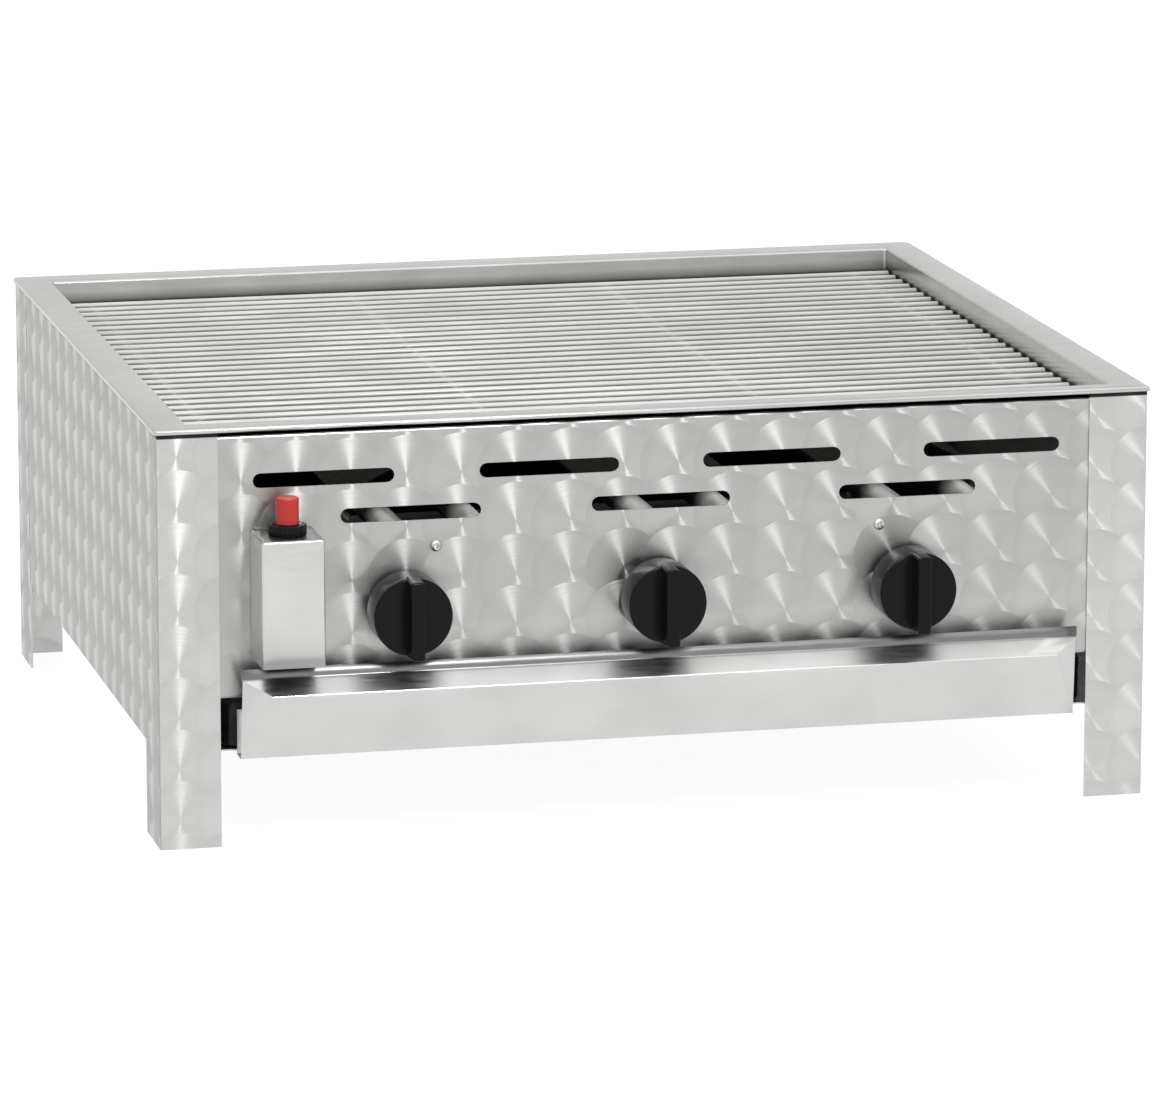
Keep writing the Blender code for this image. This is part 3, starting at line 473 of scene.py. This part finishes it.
# a closed loop round a rectangle: at each corner, corner centre + radius * (cos a, sin a)
# first is the radius of the corner at +X +Y, where it differs
def roundRect(halfX, halfY, radius, steps=7, first=None):
    turn = (np.arange(4)[:, None] * np.pi / 2 + np.linspace(0, np.pi / 2, steps)[None, :]).ravel()
    signX = np.repeat([1, -1, -1, 1], steps)
    signY = np.repeat([1, 1, -1, -1], steps)
    radius = np.repeat([first or radius, radius, radius, radius], steps)
    return np.stack(
        [
            signX * (halfX - radius) + radius * np.cos(turn),
            signY * (halfY - radius) + radius * np.sin(turn),
        ],
        axis=1,
    )


# the axis of a turned surface: two directions across it, then its own
axes = {
    "front": ((1, 0, 0), (0, 0, 1), (0, -1, 0)),
    "up": ((1, 0, 0), (0, 1, 0), (0, 0, 1)),
    "across": ((0, 1, 0), (0, 0, 1), (1, 0, 0)),
}


# a turned surface: place + radius * (cos a, sin a) across the axis + height along it
def turnedGrid(profile, place, axis, turns=40, wave=None):
    radius = profile[:, 0][:, None]
    height = profile[:, 1][:, None]
    turn = np.linspace(0, 2 * np.pi, turns, endpoint=False)[None, :]
    if wave is not None:
        radius = wave(radius, height, turn)
    one, two, way = (np.array(v, float) for v in axes[axis])
    across = (radius * np.cos(turn))[..., None] * one + (radius * np.sin(turn))[..., None] * two
    return np.array(place) + across + (height * np.ones_like(turn))[..., None] * way


# a round tube along a path: path point + radius * (side * cos a + over * sin a), the frame carried along
def tubeGrid(path, radius, sides=16):
    ahead = np.gradient(path, axis=0)
    ahead /= np.linalg.norm(ahead, axis=1)[:, None]
    side = np.cross(ahead[0], (0, 0, 1) if abs(ahead[0][2]) < 0.9 else (1, 0, 0))
    sideways = []
    for way in ahead:
        side = side - way * (side @ way)
        side /= np.linalg.norm(side)
        sideways.append(side)
    sideways = np.array(sideways)
    over = np.cross(ahead, sideways)
    turn = np.linspace(0, 2 * np.pi, sides, endpoint=False)
    ring = sideways[:, None] * np.cos(turn)[None, :, None] + over[:, None] * np.sin(turn)[None, :, None]
    reach = np.broadcast_to(np.asarray(radius, float).reshape(-1, 1, 1), (len(path), 1, 1))
    return path[:, None] + ring * reach


# quads over a grid of points, with the columns joined into rings where wrap is set
def gridFaces(rows, cols, wrap, first=0):
    i = np.arange(rows - 1)[:, None]
    j = np.arange(cols if wrap else cols - 1)[None, :]
    k = (j + 1) % cols
    return first + np.stack(
        [i * cols + j, i * cols + k, (i + 1) * cols + k, (i + 1) * cols + j], axis=-1
    ).reshape(-1, 4)


# one mesh from several grids and any extra faces, with doubled points merged
def gridMesh(name, grids, wrap=True, closed=True, extra=()):
    points, faces, first = [], [], 0
    for grid in grids:
        rows, cols = grid.shape[:2]
        points.append(grid.reshape(-1, 3))
        faces += gridFaces(rows, cols, wrap, first).tolist()
        first += rows * cols
    faces += [list(face) for face in extra]
    mesh = bpy.data.meshes.new(name)
    mesh.from_pydata(np.concatenate(points), [], faces)
    work = bmesh.new()
    work.from_mesh(mesh)
    bmesh.ops.remove_doubles(work, verts=work.verts, dist=mergeDistance)
    bmesh.ops.dissolve_degenerate(work, edges=work.edges, dist=mergeDistance / 2)
    if closed:
        bmesh.ops.recalc_face_normals(work, faces=work.faces)
    work.to_mesh(mesh)
    work.free()
    mesh.shade_smooth()
    mesh.set_sharp_from_angle(angle=sharpAngle)
    return mesh


# one visible piece with its material, its body and the nodes it stands for;
# a thickness turns a sheet solid, and hidden is the material of its inner face
def addPiece(name, mesh, material, body, replaced, thickness=None, hidden=None):
    piece = bpy.data.objects.new(name, mesh)
    bpy.context.scene.collection.objects.link(piece)
    mesh.materials.append(material)
    if thickness:
        wall = piece.modifiers.new("wall", "SOLIDIFY")
        wall.thickness = thickness
        wall.offset = -1
        wall.use_even_offset = True
        wall.use_quality_normals = True
        if hidden:
            mesh.materials.append(hidden)
            wall.material_offset = 1
    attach(piece, body)
    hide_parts(*replaced)
    return piece


knobShape = {
    "radius": 25.7,
    "back": 7.5,
    "face": 33.0,
    "edge": 1.3,
    "dish": 0.6,
    "dishRadius": 20.56,
    "gripTop": 48.0,
    "gripWidth": 10.0,
    "gripLength": 52.5,
    "gripCorner": 2.6,
    "gripEdge": 1.4,
    "gripTaper": 0.5,
    "gripBuried": 4.0,
    "gripFoot": 2.0,
    "height": 152.5,
}
words = ("left", "centre", "right")
burnerAt = (-0.1698, -0.0021, 0.1656)  # the middle of each knob and of its burner's fed leg


# disc: a turned profile with rounded edges and a dished face, height = face - dish * (1 - (r / R)^2)
# grip: rounded rectangles that shrink by taper + edge * (1 - cos a) towards the top
def makeKnob(word, x):
    k = {key: value / 1000 for key, value in knobShape.items()}
    rim = roundPath(
        [(0, k["back"]), (k["radius"], k["back"]), (k["radius"], k["face"]), (k["dishRadius"], k["face"])],
        k["edge"],
    )[:, :2]
    flat = np.linspace(k["dishRadius"] * 0.975, 0, 9)
    sunk = k["face"] - k["dish"] * (1 - (flat / k["dishRadius"]) ** 2)
    profile = np.concatenate([rim, np.stack([flat, sunk], axis=1)])
    disc = turnedGrid(profile, (x, front, k["height"]), "front", 64)
    turn = np.linspace(0, np.pi / 2, 6)
    shrunk = k["gripTaper"] + k["gripEdge"] * (1 - np.cos(turn))
    inset = np.concatenate([[0.0, 0.4 * k["gripTaper"]], shrunk])
    foot = [k["face"] - k["gripBuried"], k["face"] + k["gripFoot"]]
    rise = np.concatenate([foot, k["gripTop"] - k["gripEdge"] * (1 - np.sin(turn))])
    loops = []
    for shrink, level in zip(inset, rise):
        loop = roundRect(k["gripWidth"] / 2 - shrink, k["gripLength"] / 2 - shrink, k["gripCorner"] - shrink)
        depth = np.full(len(loop), front - level)
        loops.append(np.stack([x + loop[:, 0], depth, k["height"] + loop[:, 1]], 1))
    loops.append(np.tile([x, front - k["gripTop"], k["height"]], (len(loop), 1)))
    loops.insert(0, np.tile([x, front - rise[0], k["height"]], (len(loop), 1)))
    mesh = gridMesh(f"knob_{word}_moulding", [disc])
    grip = gridMesh(f"knob_{word}_grip_bar", [np.array(loops)])
    addPiece(f"knob_{word}_moulding", mesh, phenolic, f"knob_{word}", [f"knob_{word}"])
    addPiece(f"knob_{word}_grip_bar", grip, phenolic, f"knob_{word}", [f"knob_{word}"])


for word, x in zip(words, burnerAt):
    makeKnob(word, x)
print("knobs made")

igniterShape = {
    "left": -269.5,
    "right": -228.6,
    "frontY": -330.0,
    "backY": -289.0,
    "axisY": -310.0,
    "bottom": 124.9,
    "top": 207.9,
    "bend": 1.6,
    "hole": 9.8,
    "sheet": 1.0,
    "step": 4.0,
    "buttonRadius": 7.5,
    "buttonFoot": 182.9,
    "buttonTop": 232.4,
    "buttonEdge": 1.2,
    "nutRadius": 12.25,
    "nutHole": 9.8,
    "nutLow": 208.2,
    "nutHeight": 7.0,
    "nutEdge": 0.6,
    "flutes": 26,
    "fluteDepth": 0.45,
}


# walls: a U-shaped plan path carried up and over the top bend; top: its outline drawn in to a round hole
def makeIgniter():
    g = {key: value / 1000 for key, value in igniterShape.items()}
    bend = g["bend"]
    corners = [
        (g["left"], g["backY"]),
        (g["left"], g["frontY"]),
        (g["right"], g["frontY"]),
        (g["right"], g["backY"]),
    ]
    # the corners are a little rounder than the top bend, so that they don't close up in it
    plan = densify(roundPath(corners, bend + 0.0001), g["step"])
    centre = np.array([(g["left"] + g["right"]) / 2, g["axisY"], 0])
    inner = np.array([g["left"] + bend, g["right"] - bend, g["frontY"] + bend])
    drawn = plan.copy()
    drawn[:, 0] = np.clip(plan[:, 0], inner[0], inner[1])
    drawn[:, 1] = np.maximum(plan[:, 1], inner[2])
    levels = (g["bottom"], g["bottom"] + 0.03, g["top"] - bend)
    rows = [plan * (1, 1, 0) + (0, 0, level) for level in levels]
    for turn in np.linspace(0, np.pi / 2, 5)[1:]:
        mixed = drawn + (plan - drawn) * math.cos(turn)
        rows.append(mixed * (1, 1, 0) + (0, 0, g["top"] - bend + bend * math.sin(turn)))
    back = densify(np.array([rows[-1][-1], rows[-1][0]]), g["step"])[1:-1]
    loop = np.concatenate([rows[-1], back])
    away = loop - centre
    ring = centre + away / np.hypot(away[:, 0], away[:, 1])[:, None] * g["hole"]
    ring[:, 2] = g["top"]
    share = np.linspace(0, 1, 5)[:, None, None]
    lid = loop[None] * (1 - share) + ring[None] * share
    walls = np.array(rows)
    lidFaces = gridFaces(lid.shape[0], lid.shape[1], True, walls.shape[0] * walls.shape[1])
    points = np.concatenate([walls.reshape(-1, 3), lid.reshape(-1, 3)])
    faces = np.concatenate([gridFaces(walls.shape[0], walls.shape[1], False), lidFaces])
    mesh = bpy.data.meshes.new("igniter_cover")
    mesh.from_pydata(points, [], faces.tolist())
    work = bmesh.new()
    work.from_mesh(mesh)
    bmesh.ops.remove_doubles(work, verts=work.verts, dist=mergeDistance)
    work.to_mesh(mesh)
    work.free()
    mesh.shade_smooth()
    mesh.set_sharp_from_angle(angle=sharpAngle)
    addPiece("igniter_cover", mesh, lidShadedSteel, "root", ["igniter_box"], g["sheet"])
    stem = roundPath(
        [
            (0, g["buttonFoot"]),
            (g["buttonRadius"], g["buttonFoot"]),
            (g["buttonRadius"], g["buttonTop"]),
            (0, g["buttonTop"]),
        ],
        g["buttonEdge"],
    )[:, :2]
    button = gridMesh("igniter_cap", [turnedGrid(stem, centre, "up", 40)])
    addPiece("igniter_cap", button, redPlastic, "igniter_button", ["igniter_button"])
    nut = roundPath(
        [
            (g["nutHole"], g["nutLow"] + g["nutHeight"] * 0.5),
            (g["nutHole"], g["nutLow"]),
            (g["nutRadius"], g["nutLow"]),
            (g["nutRadius"], g["nutLow"] + g["nutHeight"]),
            (g["nutHole"], g["nutLow"] + g["nutHeight"]),
            (g["nutHole"], g["nutLow"] + g["nutHeight"] * 0.5),
        ],
        g["nutEdge"],
        3,
    )[:, :2]

    # r = r - depth * (1 + cos(n a)) / 2 on the outer side only
    def fluted(radius, height, turn):
        outer = radius > g["nutRadius"] - 0.001
        return radius - outer * g["fluteDepth"] * (1 + np.cos(igniterShape["flutes"] * turn)) / 2

    ringNut = gridMesh("igniter_ring_nut", [turnedGrid(nut, centre, "up", 208, fluted)])
    addPiece("igniter_ring_nut", ringNut, phenolic, "root", ["igniter_nut"])


makeIgniter()
print("igniter made")

panShape = {
    "stations": (
        (279, -287.4, 90),
        (279, -287.4, 59.6),
        (279, -299, 59.6),
        (260, -320, 104),
        (279, -304, 113),
        (279, -304, 119.5),
    ),
    "bend": 1.8,
    "half": 288.0,
    "frontY": -287.1,
    "rearY": 272.0,
    "floor": 262.0,
    "bottom": 64.0,
    "top": 94.0,
    "corner": 9.0,
    "leastCorner": 2.0,
    "foot": 4.0,
    "sheet": 0.8,
    "pullSheet": 1.0,
}
bendSteps = 6


# front: both end paths rounded in space and joined straight across; gussets close the two ends
def makePanFront():
    stations = [(-half / 1000, y / 1000, z / 1000) for half, y, z in panShape["stations"]]
    path = roundPath(stations, panShape["bend"] / 1000, bendSteps)
    share = np.linspace(0, 1, 25)[None, :, None]
    grid = path[:, None] * (1 - share) + (path * (-1, 1, 1))[:, None] * share
    rows, cols = grid.shape[:2]
    each = bendSteps + 1
    endRows = np.arange(2 * each, 3 * each + 2)  # from the end of the second bend to the start of the fourth
    left = endRows * cols
    right = (endRows * cols + cols - 1)[::-1]
    mesh = gridMesh("drip_pan_pull", [grid], wrap=False, closed=False, extra=(left, right))
    sheet = panShape["pullSheet"] / 1000
    addPiece("drip_pan_pull", mesh, hemShadedSteel, "drip_pan", ["drip_pan_front"], sheet)


# tray: rounded rectangles that grow across the floor, turn up round the foot and climb to the rim
def makePanTray():
    p = {key: value / 1000 for key, value in panShape.items() if key != "stations"}
    halfY = (p["rearY"] - p["frontY"]) / 2
    middleY = (p["rearY"] + p["frontY"]) / 2
    turned = [(p["floor"], p["bottom"]), (0, p["bottom"]), (0, p["top"])]
    profile = roundPath(turned, p["foot"], bendSteps)[:, :2]
    loops = []
    for inset, level in profile:
        corner = max(p["corner"] - inset, p["leastCorner"])
        loop = roundRect(p["half"] - inset, halfY - inset, corner, 8)
        loops.append(np.stack([loop[:, 0], loop[:, 1] + middleY, np.full(len(loop), level)], 1))
    grid = np.array(loops)
    cap = tuple(range(grid.shape[1] - 1, -1, -1))
    mesh = gridMesh("drip_pan_tray", [grid], closed=False, extra=(cap,))
    addPiece("drip_pan_tray", mesh, enamel, "drip_pan", ["drip_pan"], p["sheet"])


makePanFront()
makePanTray()
print("drip pan made")

rimShape = {
    "halfX": 331.3,
    "frontY": -291.3,
    "rearY": 291.3,
    "top": 275.0,
    "lip": 3.0,
    "side": 24.0,
    "front": 16.3,
    "rear": 26.3,
    "ledgeTop": 256.7,
    "ledgeSide": 14.8,
    "ledgeEnd": 7.5,
    "bend": 1.4,
    "corner": 2.2,
    "rearCorner": 6.0,
    "sheet": 1.0,
}


# rim: for each side (inset, level) turned round the bends, then carried round a rectangle with small corners
def makeRim():
    r = {key: value / 1000 for key, value in rimShape.items()}

    def sideProfile(width, ledge):
        return roundPath(
            [
                (0, r["top"] - r["lip"]),
                (0, r["top"]),
                (width, r["top"]),
                (width, r["ledgeTop"]),
                (width + ledge, r["ledgeTop"]),
            ],
            r["bend"],
            5,
        )

    along = sideProfile(r["side"], r["ledgeSide"])
    near = sideProfile(r["front"], r["ledgeEnd"])
    far = sideProfile(r["rear"], r["ledgeEnd"])
    loops = []
    for a, n, f in zip(along, near, far):
        low = r["frontY"] + n[0]
        high = r["rearY"] - f[0]
        # the corner at +X +Y is rounder outside and like the others inside
        rear = r["rearCorner"] - min(a[0] / r["side"], 1) * (r["rearCorner"] - r["corner"])
        loop = roundRect(r["halfX"] - a[0], (high - low) / 2, r["corner"], 6, rear)
        loops.append(np.stack([loop[:, 0], loop[:, 1] + (low + high) / 2, np.full(len(loop), a[1])], 1))
    mesh = gridMesh("top_rim", [np.array(loops)], closed=False)
    # the rim's inner face takes painted shade
    addPiece("top_rim", mesh, rimFootShadedSteel, "root", ["top_frame"], r["sheet"], paintedShadeBlack)


grateShape = {
    "barRadius": 2.0,
    "barZ": 259.0,
    "firstY": -250.0,
    "lastY": 252.5,
    "bars": 28,
    "tip": 305.8,
    "rodRadius": 2.0,
    "rodZ": 255.8,
    "rodX": 281.3,
    "rods": 4,
    "tail": 3.0,
    "weld": 2.1,
    "weldHeight": 0.7,
    "weldDrop": 0.2,
}


# bars and rods: turned profiles with rounded ends; welds: squashed balls where they cross
def makeGrate():
    g = {key: value / 1000 for key, value in grateShape.items() if key not in ("bars", "rods")}
    across = np.linspace(g["firstY"], g["lastY"], grateShape["bars"])
    rodXs = np.linspace(-g["rodX"], g["rodX"], grateShape["rods"])

    def endedRod(radius, length):
        turn = np.linspace(0, np.pi / 2, 5)
        tip = np.stack([radius * np.sin(turn), radius * 0.6 * (1 - np.cos(turn))], 1)
        return np.concatenate([tip, (tip * (1, -1) + (0, length))[::-1]])

    bar = endedRod(g["barRadius"], g["tip"] * 2)
    grids = [turnedGrid(bar, (-g["tip"], y, g["barZ"]), "across", 14) for y in across]
    rod = endedRod(g["rodRadius"], g["lastY"] - g["firstY"] + 2 * g["tail"])
    grids += [turnedGrid(rod, (x, g["lastY"] + g["tail"], g["rodZ"]), "front", 14) for x in rodXs]
    turn = np.linspace(0, np.pi, 7)
    ball = np.stack([g["weld"] * np.sin(turn), -g["weldHeight"] * np.cos(turn)], 1)
    meet = (g["barZ"] - g["barRadius"] + g["rodZ"] + g["rodRadius"]) / 2 - g["weldDrop"]
    grids += [turnedGrid(ball, (x, y, meet), "up", 10) for x in rodXs for y in across]
    mesh = gridMesh("grate_bars_and_rods", grids)
    addPiece("grate_bars_and_rods", mesh, barSteel, "cooking_grate", ["cooking_grate"])


makeRim()
makeGrate()
print("rim and grate made")

burnerShape = {
    "radius": 9.0,
    "mouthY": -280.0,
    "endY": 230.0,
    "height": 195.5,
    "apart": 54.0,
    "endEdge": 1.5,
    "ports": 26,
    "portReach": 190.0,
    "portRadius": 1.0,
    "portDepth": 0.6,
    "portRise": 0.04,
    "portSlopes": (25, 155),
    "holeY": -245.85,
    "holeRadius": 4.0,
    "holeRise": 0.1,
}


# tube: a round section along a hairpin path, its ends drawn in
# ports: short plugs of painted shade in two rows on each leg, and one under the fed leg
def makeBurner(word, x):
    b = {key: value / 1000 for key, value in burnerShape.items() if key not in ("ports", "portSlopes")}
    corners = [
        (x, b["mouthY"], b["height"]),
        (x, b["endY"], b["height"]),
        (x + b["apart"], b["endY"], b["height"]),
        (x + b["apart"], b["mouthY"], b["height"]),
    ]
    path = densify(roundPath(corners, b["apart"] / 2 - 0.00001, 12), 0.04)
    tube = tubeGrid(path, b["radius"], 28)
    turn = np.linspace(0, np.pi / 2, 5)[:, None, None]

    # an end: the last ring drawn in to radius * cos a while it moves forward by edge * sin a
    def ending(ring):
        middle = ring.mean(0)
        return middle + (ring - middle) * np.cos(turn) - np.array([0, b["endEdge"], 0]) * np.sin(turn)

    tube[0] += (0, b["endEdge"], 0)
    tube[-1] += (0, b["endEdge"], 0)
    body = np.concatenate([ending(tube[0])[:0:-1], tube, ending(tube[-1])[1:]])
    mesh = gridMesh(f"burner_{word}_tube", [body])
    addPiece(f"burner_{word}_tube", mesh, tubeShadedSteel, "root", [f"burner_{word}"])
    low = -b["holeRise"]
    high = b["portDepth"]
    under = np.array([[0, high], [b["holeRadius"], high], [b["holeRadius"], low], [0, low]])
    inlet = turnedGrid(under, (x, b["holeY"], b["height"] - b["radius"]), "up", 20)
    ys = np.linspace(-b["portReach"], b["portReach"], burnerShape["ports"])
    inner = b["radius"] - b["portDepth"]
    outer = b["radius"] + b["portRise"]
    plugs = []
    turn = np.linspace(0, 2 * np.pi, 10, endpoint=False)
    for legX in (x, x + b["apart"]):
        for slope in np.radians(burnerShape["portSlopes"]):
            out = np.array([math.cos(slope), 0, math.sin(slope)])
            over = np.array([-math.sin(slope), 0, math.cos(slope)])
            rim = np.cos(turn)[:, None] * np.array([0, 1.0, 0]) + np.sin(turn)[:, None] * over
            for y in ys:
                centre = np.array([legX, y, b["height"]])
                rings = [
                    centre + out * level + rim * radius
                    for level, radius in ((inner, 0), (outer, b["portRadius"]), (outer, 0))
                ]
                plugs.append(np.array(rings))
    ports = gridMesh(f"burner_{word}_ports", plugs + [inlet])
    addPiece(f"burner_{word}_ports", ports, paintedShadeBlack, "root", [f"burner_{word}"])


for word, x in zip(words, burnerAt):
    makeBurner(word, x)
print("burners made")

screwShape = {
    "head": 3.8,
    "rise": 2.1,
    "shank": 1.7,
    "length": 8.5,
    "recess": 1.2,
    "arm": 0.55,
    "armReach": 2.1,
}
# the seat of the right-hand screw of each pair, which the left-hand one mirrors
screwPlaces = {"panel_screw": (0.1479, -0.2890, 0.1915), "pan_screw": (0.200, -0.2887, 0.080)}
headSteps = 18
screwTurns = 48


# head: height = rise * (1 - 0.75 * (r / R)^4), less a cross whose depth fades at the arms' sides and tips
def makeScrew(name, place, body, replaced):
    s = {key: value / 1000 for key, value in screwShape.items()}
    radius = np.concatenate([np.linspace(0, s["head"], headSteps), [s["head"], s["shank"], s["shank"], 0]])
    level = s["rise"] * (1 - 0.75 * (radius / s["head"]) ** 4)
    level[headSteps:] = (0, 0, -s["length"], -s["length"])
    grid = turnedGrid(np.stack([radius, level], 1), place, "front", screwTurns)
    turn = np.linspace(0, 2 * np.pi, screwTurns, endpoint=False)[None, :]
    across = np.abs(radius[:, None] * np.cos(turn))
    upward = np.abs(radius[:, None] * np.sin(turn))
    narrow = np.clip((s["arm"] * 1.3 - np.minimum(across, upward)) / (s["arm"] * 0.6), 0, 1)
    short = np.clip((s["armReach"] - radius[:, None]) / (s["arm"] * 0.8), 0, 1)
    short[headSteps:] = 0
    grid[..., 1] += s["recess"] * narrow * short
    addPiece(name, gridMesh(name, [grid]), satinSteel, body, [replaced])


for side, word in ((-1, "left"), (1, "right")):
    for kind, body in (("panel_screw", "root"), ("pan_screw", "drip_pan")):
        away, y, z = screwPlaces[kind]
        makeScrew(f"{kind}_{word}_head", (side * away, y, z), body, f"{kind}_{word}")
print("screws made")

studio = {
    "floorTone": "505050",
    "floorHalf": 14.0,
    "floorGlow": 0.94,
    "skyLevels": ((0.0, 0.92), (0.45, 0.78), (0.80, 1.5), (1.0, 1.6)),  # place from floor to zenith, level
    "keyPower": 6.4,
    "keySize": 0.20,
    "keyPlace": (-0.05, -1.14, 0.84),
    "keyAim": (0.0, -0.29, 0.17),
    "fillPower": 4.0,
    "fillPlace": (-2.6, -2.2, 1.9),
    "fillAim": (0.0, 0.0, 0.15),
    "fillSize": 1.6,
    "cameraPlace": (-1.085, -4.670, 1.152),
    "cameraWay": (0.2241, 0.9517, -0.2098),
    "cameraLens": 221.33,
}

floorMesh = bpy.data.meshes.new("studio_floor")
half = studio["floorHalf"]
floorMesh.from_pydata(
    [(-half, -half, 0), (half, -half, 0), (half, half, 0), (-half, half, 0)], [], [(0, 1, 2, 3)]
)
floor = bpy.data.objects.new("studio_floor", floorMesh)
bpy.context.scene.collection.objects.link(floor)
# white paper: matt, and bright enough to stay white with soft shadows
paper, paperTree, paperShader = startMaterial("paper_white")
fibre = grain(paperTree, 40)
paperTree.links.new(spread(paperTree, fibre, 0.75, 0.85), paperShader.inputs["Roughness"])
paperShader.inputs["Base Color"].default_value = linear(studio["floorTone"])
paperShader.inputs["Emission Color"].default_value = (1, 1, 1, 1)
paperShader.inputs["Emission Strength"].default_value = studio["floorGlow"]
floorMesh.materials.append(paper)

world = bpy.data.worlds.new("studio")
bpy.context.scene.world = world
world.use_nodes = True
skyTree = world.node_tree
# a grey dome: darker towards the horizon, bright overhead
skyWhere = addNode(skyTree, "ShaderNodeTexCoord").outputs["Generated"]
skyParts = addNode(skyTree, "ShaderNodeSeparateXYZ", {"Vector": skyWhere})
skyRamp = addNode(skyTree, "ShaderNodeValToRGB", {"Fac": skyParts.outputs["Z"]})
skyLevels = studio["skyLevels"]
ramp = skyRamp.color_ramp
while len(ramp.elements) < len(skyLevels):
    ramp.elements.new(0.5)
for element, (place, level) in zip(ramp.elements, skyLevels):
    element.position = place
    element.color = (level, level, level, 1)
background = skyTree.nodes["Background"]
skyTree.links.new(skyRamp.outputs["Color"], background.inputs["Color"])


# a square soft light at a place, aimed at a point
def softLight(name, place, aim, power, size):
    lamp = bpy.data.lights.new(name, "AREA")
    lamp.energy = power
    lamp.size = size
    lampObject = bpy.data.objects.new(name, lamp)
    bpy.context.scene.collection.objects.link(lampObject)
    lampObject.location = place
    lampObject.rotation_euler = (Vector(aim) - Vector(place)).to_track_quat("-Z", "Y").to_euler()


softLight("key_light", studio["keyPlace"], studio["keyAim"], studio["keyPower"], studio["keySize"])
softLight("fill_light", studio["fillPlace"], studio["fillAim"], studio["fillPower"], studio["fillSize"])

cameraData = bpy.data.cameras.new("camera")
cameraData.sensor_width = 36.0
cameraData.lens = studio["cameraLens"]
cameraData.clip_end = 100.0
camera = bpy.data.objects.new("camera", cameraData)
bpy.context.scene.collection.objects.link(camera)
camera.location = studio["cameraPlace"]
camera.rotation_euler = Vector(studio["cameraWay"]).to_track_quat("-Z", "Y").to_euler()
bpy.context.scene.camera = camera
bpy.context.scene.view_settings.view_transform = "Standard"
print("stage set")
